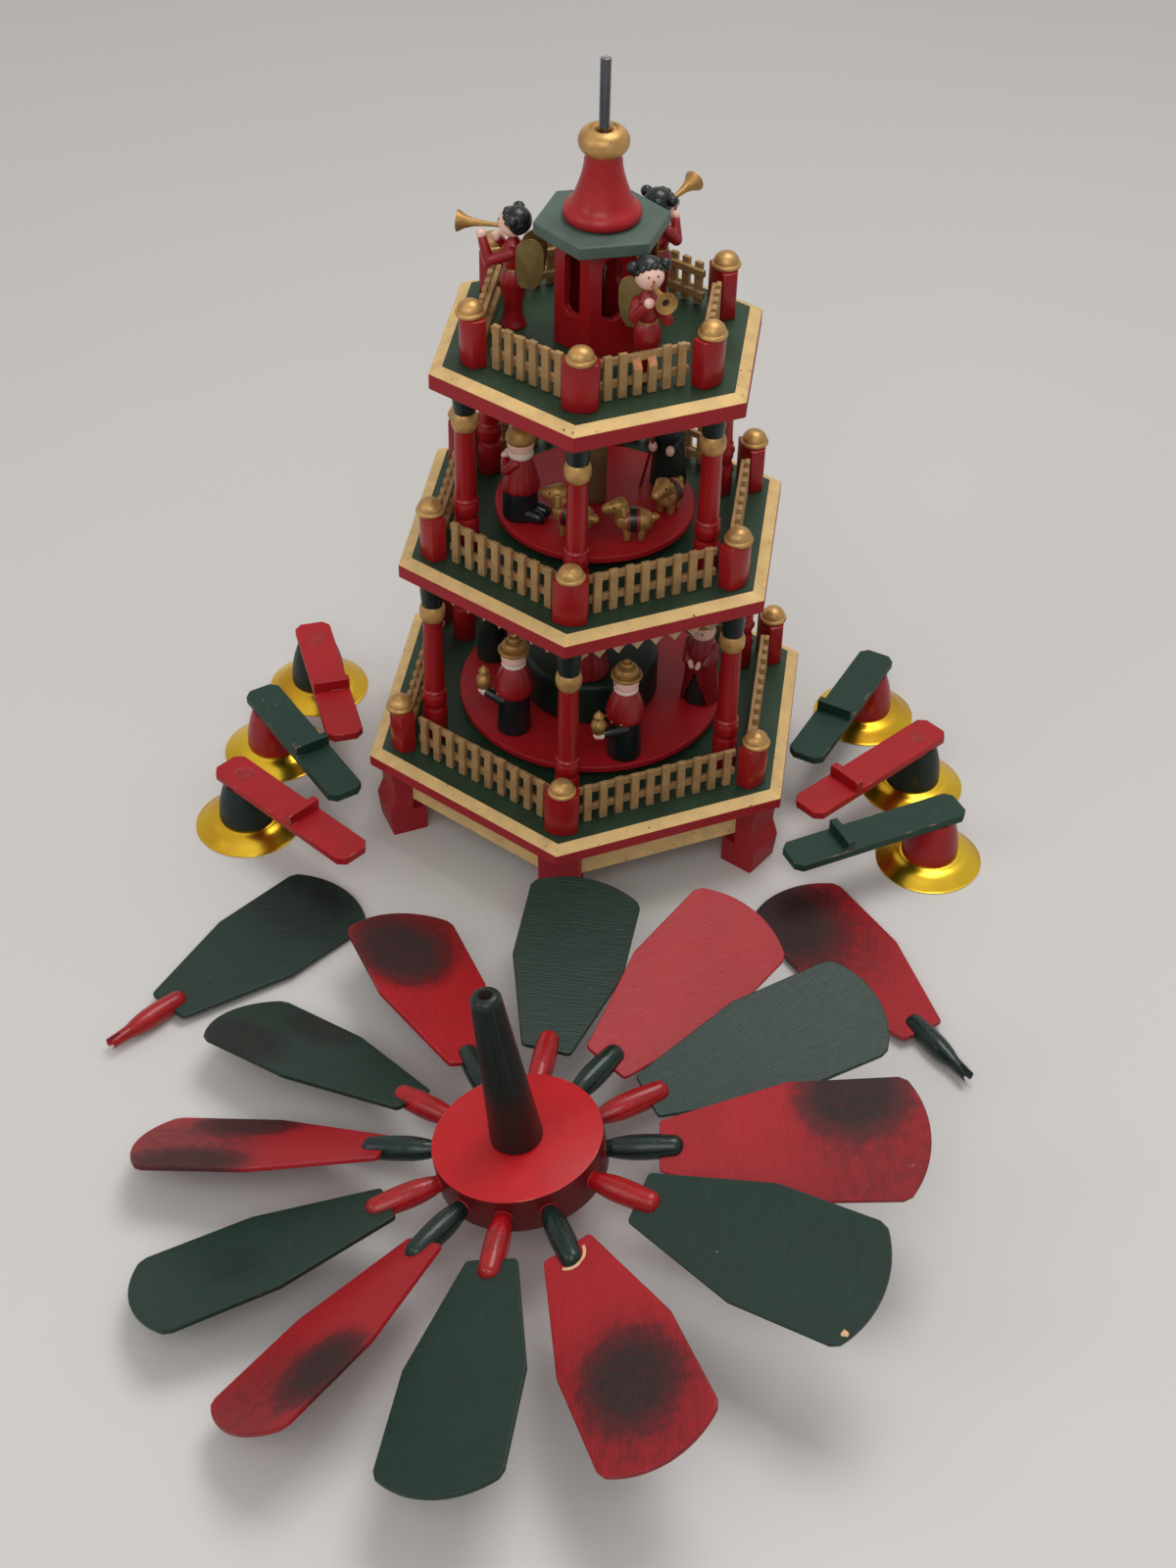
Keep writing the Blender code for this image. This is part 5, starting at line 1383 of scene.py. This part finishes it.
def arm_board(stop):
    """The board, its stop bar and the end of the cup's peg; stop is the bar's place, in metres."""
    near, far, half, cut = -ARM_PAST_CUP, ARM[0] - ARM_PAST_CUP, ARM[1] / 2, ARM_CORNER
    low = CUP_END - 0.1
    top = low + ARM[2]
    outline = [(near, -half + cut), (near + cut, -half), (far - cut, -half), (far, -half + cut),
               (far, half - cut), (far - cut, half), (near + cut, half), (near, half - cut)]
    plank = rounded(board(mm(outline), low * MM, top * MM), 0.4 * MM, 2)
    bar = block((STOP[0] * MM, ARM[1] * MM, STOP[1] * MM), (stop, 0, (top + STOP[1] / 2 - 0.05) * MM))
    peg = [(0, top - 0.3), (PEG, top - 0.3), (PEG, top + 0.08), (PEG - 0.3, top + 0.16), (0, top + 0.16)]
    return plank, rounded(bar, 0.35 * MM, 2), lathe(mm(peg), 32)


# %% Cups and pans, in millimetres
CUP, CUP_TOP = 12.0, 8.5
CANDLE, CANDLE_DEEP = 7.0, 14.0
PAN = 22.4
SHEET = 0.5


def cup_shape():
    """The turned cup with its candle socket, upside down."""
    side = curve_through([
        (CUP, PAN_HIGH - 0.4), (CUP * 0.985, PAN_HIGH + 4), (CUP * 0.93, PAN_HIGH + 9),
        (CUP * 0.83, PAN_HIGH + 14), (CUP_TOP, CUP_END),
    ], 4)
    mouth = [(0, CANDLE_DEEP), (CANDLE, CANDLE_DEEP), (CANDLE, PAN_HIGH - 0.9), (CUP - 1, PAN_HIGH - 0.9)]
    bm = lathe(mm([*mouth, *side, (0, CUP_END)]), 40)
    # The socket's inside is painted dark: painted shade.
    return coloured(bm, lambda spot: spot.xy.length < CANDLE * 1.01 * MM and spot.z < (CANDLE_DEEP + 0.1) * MM)


def pan_shape():
    """The pressed foil pan: a shallow flare with a rolled rim, one skin thick."""
    outer = curve_through([
        (CUP + 0.9, PAN_HIGH), (CUP + 2.0, PAN_HIGH - 0.5), (CUP + 4.7, PAN_HIGH - 1.5), (PAN - 2.6, 2.1),
        (PAN - 0.5, 0.75),
    ], 4)
    rim = [(PAN, 0.55), (PAN, 0.2), (PAN - 0.3, 0), (PAN - 0.8, 0.15)]
    inner = [(r - 0.1, z - SHEET) for r, z in reversed(outer[:-1])]
    hole = [(CANDLE + 0.1, PAN_HIGH - SHEET - 0.3), (CANDLE + 0.1, PAN_HIGH - 0.3)]
    return lathe(mm([(CUP - 0.6, PAN_HIGH + 0.1), *outer, *rim, *inner, *hole]), 72, ring=True)


# %% Lay the arms out
ARM_COLOURS = (("green", "red", "red_lacquer"), ("red", "green", "cup_green")) * 3
for index, (colour, other, cup_paint) in enumerate(ARM_COLOURS):
    node_name = f"candle_arm_{index + 1}"
    place, stop = arm_place(node_name)
    plank, bar, peg = arm_board(stop)
    boards = [(plank, f"arm_{colour}", 20), (bar, f"arm_{colour}", 20), (peg, f"peg_{colour}", 20)]
    cup, pan = [(cup_shape(), (cup_paint, "recess_painted_shade"))], [(pan_shape(), "foil_brass")]
    for kind, parts, paint in (("board", boards, colour), ("cup", cup, other), ("pan", pan, colour)):
        piece(f"{node_name}_{kind}", parts, TOWER, [node_name], place)

# %% [markdown]
# ## Wings
#
# A wing is a turned stem with a thin blade glued in its slot. Its place comes from the points of
# its solid: their longest spread is the line of the stem, the next is across the blade, and the
# last is the blade's normal. That works for the wings in the hub and for the loose ones alike.

# %% Where each wing lies
STEM_START = 21.6 * MM


def wing_place(node_name):
    """The matrix that carries a wing modelled along +X to where its solid lies."""
    spots = points_of(node_name)
    spread = np.linalg.svd(spots - spots.mean(0), full_matrices=False)[2]
    along, normal = Vector(spread[0]), Vector(spread[2])
    reach = spots @ spread[0]
    widest = spots[np.argmax(np.abs((spots - spots.mean(0)) @ spread[1]))]
    if widest @ spread[0] < (reach.min() + reach.max()) / 2:
        along = -along
    if normal.z < 0:
        normal = -normal
    across = normal.cross(along)
    middle = []
    for direction in (along, across, normal):
        reach = spots @ np.array(direction)
        middle.append((reach.min(), (reach.min() + reach.max()) / 2))
    origin = along * (middle[0][0] - STEM_START) + across * middle[1][1] + normal * middle[2][1]
    return Matrix.Translation(origin) @ Matrix((along, across, normal)).transposed().to_4x4()


for joint in frame["joints"]:
    if joint["name"].endswith("_pitch"):
        number = joint["name"].split("_")[1]
        off = wing_place(f"wing_{number}").to_3x3().col[0].angle(Vector(joint["axis"]))
        print(f"wing {number}: its line is {degrees(off):.2f} degrees off its joint")

# %% Blades
BLADE = (50.3 * MM, 96.2 * MM, 137.4 * MM)
BLADE_HALF = (9.8 * MM, 21.9 * MM, 22.4 * MM)
BLADE_BOW = 8.5 * MM
BLADE_CORNER = 2.0 * MM
BLADE_THICK = 2.0 * MM
BLADE_CREASE = 15
CUTS_ALONG, CUTS_ACROSS = 44, 16


def burn_at(spot, burns):
    """Soot from 0 to 1 at a point, for burns of (along, across, length, width, strength)."""
    clean = 1.0
    for along, across, length, width, strength in burns:
        away = sqrt(((spot.x / MM - along) / length) ** 2 + ((spot.y / MM - across) / width) ** 2)
        fade = min(1.0, max(0.0, (1 - away) / 0.65))
        clean *= 1 - strength * fade * fade * (3 - 2 * fade)
    return 1 - clean


def blade_shape(grain_turn, burns):
    """A blade along +X, cut into strips so that its points can hold the soot."""
    start, shoulder, end = BLADE
    root, wide, tip = BLADE_HALF
    radius = (tip ** 2 + BLADE_BOW ** 2) / (2 * BLADE_BOW)
    half = [(start, root - 1.6 * MM), (start + 0.5 * MM, root - 0.5 * MM), (start + 1.6 * MM, root),
            (shoulder, wide), (end - BLADE_CORNER, tip)]
    for step in range(15, 0, -1):
        across = tip * (step / 16)
        half.append((end + BLADE_BOW - radius + sqrt(radius ** 2 - across ** 2), across))
    outline = half + [(end + BLADE_BOW, 0)] + [(x, -y) for x, y in reversed(half)]
    bm = rounded(board(outline, -BLADE_THICK / 2, BLADE_THICK / 2), 0.45 * MM, 2, 60)
    long = end + BLADE_BOW - start
    cuts = [((start + long * step / CUTS_ALONG, 0, 0), (1, 0, 0)) for step in range(1, CUTS_ALONG)]
    cuts += [((0, tip * (2 * step / CUTS_ACROSS - 1), 0), (0, 1, 0)) for step in range(1, CUTS_ACROSS)]
    for spot, way in cuts:
        bmesh.ops.bisect_plane(bm, geom=bm.verts[:] + bm.edges[:] + bm.faces[:], plane_co=spot, plane_no=way)
    soot = bm.verts.layers.float.new("soot")
    for vertex in bm.verts:
        vertex[soot] = burn_at(vertex.co, burns)
    grain = bm.loops.layers.uv.new("blade")
    turn = Matrix.Rotation(radians(grain_turn), 2)
    for face in bm.faces:
        for loop in face.loops:
            loop[grain].uv = turn @ loop.vert.co.xy
    return bm


# %% Stems
STEM_END = 59.0 * MM
LOOSE_SLIM = 0.93
SPLIT_LONG, SPLIT_DEEP, SPLIT_HALF = 9.0 * MM, 5.0 * MM, 0.9 * MM
STEM = mm([(2.9, 30.5), (3.8, 34.5), (4.5, 39.0), (4.7, 43.0), (4.6, 49.0), (4.1, 55.6)])


def stem_shape(loose):
    """A turned stem along +X, swelling to its blade; a loose one is slimmer, with a split foot."""
    outer = curve_through([(2.6 * MM, STEM_START), *STEM], 4)
    cap = arc(0, 55.6 * MM, 4.1 * MM, (20, 40, 60, 78), 3.4 * MM)
    bm = moved(lathe([(0, STEM_START), *outer, *cap, (0, STEM_END)], 28), pitch=90)
    if loose:
        bmesh.ops.scale(bm, verts=bm.verts, vec=(1, LOOSE_SLIM, LOOSE_SLIM))
        for vertex in bm.verts:
            near = max(0.0, 1 - (vertex.co.x - STEM_START) / SPLIT_LONG)
            if near and abs(vertex.co.y) < SPLIT_HALF:
                vertex.co.x += SPLIT_DEEP * near
    return coloured(bm, lambda spot: spot.x < STEM_START + 0.4 * MM)


# %% Flakes of bare wood on the blades
TORN_AT, TORN_OUT, TORN_IN = 54.0 * MM, 6.1, 5.0 * MM
CHIP_AT = (139.0 * MM, -16.6 * MM)


def on_blade(outline):
    """A flake of bare wood, a hair above the face of a blade."""
    return board(outline, BLADE_THICK / 2 - 0.3 * MM, BLADE_THICK / 2 + 0.05 * MM)


def torn_arc():
    """The pale arc that tore out round a stem's end."""
    bends = range(-50, 106, 12)
    rough = Random(5)
    outer = []
    for angle in bends:
        wide = (TORN_OUT + rough.uniform(-0.25, 0.25)) * MM
        outer += arc(TORN_AT, 0, wide, [angle], TORN_OUT * MM)
    return on_blade(outer + arc(TORN_AT, 0, TORN_IN, reversed(bends)))


def small_chip():
    """A chip in the paint near a blade's tip."""
    rough = Random(9)
    outline = []
    for step in range(9):
        wide = rough.uniform(1.1, 1.9) * MM
        outline += arc(*CHIP_AT, wide, [40 * step], 0.8 * wide)
    return on_blade(outline)


# %% Lay the wings out
# burns are (along, across, length, width, strength) on each blade, in millimetres from the hub
GRAIN_TURNS = (80, 25, -8, 82, 78, 18, 72, -20, 15, -12, 20, -8)
BURNS = {
    "wing_4": [(119, 17, 27, 22, 1.0), (130, -4, 44, 40, 0.25)],
    "wing_6": [(112, 0, 25, 23, 0.95), (118, 0, 46, 40, 0.30)],
    "wing_8": [(112, 13, 24, 19, 0.9), (128, 2, 40, 34, 0.28)],
    "wing_9": [(108, 2, 17, 14, 0.28)],
    "wing_10": [(108, -17, 28, 15, 0.8), (120, 17, 32, 15, 0.8), (124, 0, 40, 28, 0.30)],
    "wing_11": [(112, -16, 24, 18, 0.5), (126, 14, 28, 20, 0.6)],
    "wing_12": [(121, 5, 31, 25, 1.0), (134, -4, 36, 34, 0.35)],
    "loose_wing_left": [(128, 4, 32, 34, 0.40)],
    "loose_wing_right": [(131, 12, 38, 32, 1.0), (118, 0, 50, 38, 0.30)],
}
FLAKES = {"wing_5": small_chip, "wing_6": torn_arc}


def lay_wing(name, blade_colour, stem_colour, grain_turn, body):
    """One wing as a blade, which keeps its UV map and its soot, and a stem."""
    place = wing_place(name)
    blade = blade_shape(grain_turn, BURNS.get(name, ()))
    shaded(blade, BLADE_CREASE)
    mesh = bpy.data.meshes.new(f"{name}_blade")
    mesh.materials.append(FINISH[f"blade_{blade_colour}"])
    laid_out(f"{name}_blade", blade, mesh, body, [name], place)
    parts = [(stem_shape(name.startswith("loose")), (f"stem_{stem_colour}", "torn_wood"))]
    if name in FLAKES:
        parts.append((FLAKES[name](), "pale_torn_wood"))
    piece(f"{name}_stem", parts, body, [name], place)


for index, grain_turn in enumerate(GRAIN_TURNS):
    colours = ("red", "green") if index % 2 else ("green", "red")
    lay_wing(f"wing_{index + 1}", *colours, grain_turn, f"wing_{index + 1}_body")
lay_wing("loose_wing_left", "green", "red", 60, TOWER)
lay_wing("loose_wing_right", "red", "green", 35, TOWER)

# %% [markdown]
# ## Hub, sleeve and knob
#
# The hub is a thick red disc with twelve holes for the stems. The long green sleeve on it slips
# over the shaft when the pyramid is put together, so its tip is bored. The wheel lies upside down,
# and the turned knob that tops it in use is underneath.

# %% Wheel centre and axis
turn_joint = next(joint for joint in frame["joints"] if joint["name"] == "wheel_turn")
WHEEL_AT = Vector(turn_joint["pos_m"])
WHEEL_UP = Vector(turn_joint["axis"]).normalized()
ON_WHEEL = Matrix.Translation(WHEEL_AT) @ Vector((0, 0, 1)).rotation_difference(WHEEL_UP).to_matrix().to_4x4()

# %% Hub, in millimetres
HUB, HUB_HALF = 31.1, 7.7
edge = [(HUB - 0.6, -HUB_HALF), (HUB - 0.15, -HUB_HALF + 0.2), (HUB, -HUB_HALF + 0.7)]
hub_profile = [(0, -HUB_HALF), *edge, *[(radius, -height) for radius, height in reversed(edge)], (0, HUB_HALF)]
disc = lathe(mm(hub_profile), 120)
# The side faces take the darker red: painted shade on the hub's rim.
coloured(disc, lambda spot: abs(spot.z) < (HUB_HALF - 0.4) * MM and spot.xy.length > HUB * 0.9 * MM)
hub_parts = [(disc, ("hub_red", "hub_side_painted_shade"))]
for index in range(12):
    direction = ON_WHEEL.to_3x3().inverted() @ wing_place(f"wing_{index + 1}").to_3x3().col[0]
    collar = lathe(mm([(2.9, 0), (3.5, 0), (3.3, 0.35), (2.9, 0.35)]), 20, ring=True)
    start = direction * (HUB - 0.15) * MM
    hub_parts.append((aimed(collar, start, start + direction), "deck_red"))
piece("hub_disc", hub_parts, "wing_wheel", ["wheel_hub"], ON_WHEEL)

# %% Sleeve, in millimetres
foot, tip, long = 9.6, 5.4, 70.0
bore, deep = 2.3, 35.0
taper = (foot - tip) / long
side = [(foot - 0.4, 0.3), (foot, 1.0), (foot - taper * 35, 35), (tip + taper * 3, long - 3.4)]
nose = [(tip + 0.1, long - 2.0), (tip - 0.5, long - 0.9), (tip - 1.4, long - 0.2), (tip - 2.3, long),
        (bore + 0.3, long - 0.1), (bore, long - 0.5)]
bm = lathe(mm([(0, 0.3), *side, *nose, (bore, long - deep), (0, long - deep)]), 56)
# The bore is painted dark: painted shade.
coloured(bm, lambda spot: spot.xy.length < bore * 1.01 * MM and spot.z > (long - deep - 0.1) * MM)
lift = ON_WHEEL @ Matrix.Translation((0, 0, HUB_HALF * MM))
parts = [(bm, ("sleeve_green", "recess_painted_shade"))]
piece("shaft_sleeve", parts, "wing_wheel", ["wheel_sleeve"], lift)

# %% Knob, in millimetres
KNOB_BALL, KNOB_NECK = 9.0, 5.0
knob_long = WHEEL_AT.z / WHEEL_UP.z / MM - HUB_HALF - 0.6
centre = knob_long - KNOB_BALL
profile = [(0, 0), (KNOB_NECK * 1.4, 0), (KNOB_NECK * 1.5, 0.6), (KNOB_NECK * 1.4, 1.6), (KNOB_NECK, 2.6),
           (KNOB_NECK, centre - KNOB_BALL * 0.85), *arc(0, centre, KNOB_BALL, range(-50, 90, 10)), (0, knob_long)]
drop = ON_WHEEL @ Matrix.Translation((0, 0, (-HUB_HALF - 0.3) * MM))
knob = moved(lathe(mm(profile), 40), roll=180)
piece("top_knob", [(knob, "sleeve_green")], "wing_wheel", ["wheel_knob"], drop)

# %% [markdown]
# ## Last measures
#
# The dressed model should fit the box of the solids. Its box is printed at the end.

# %% Print the dressed box
low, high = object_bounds()
print("dressed box", tuple(low), tuple(high))
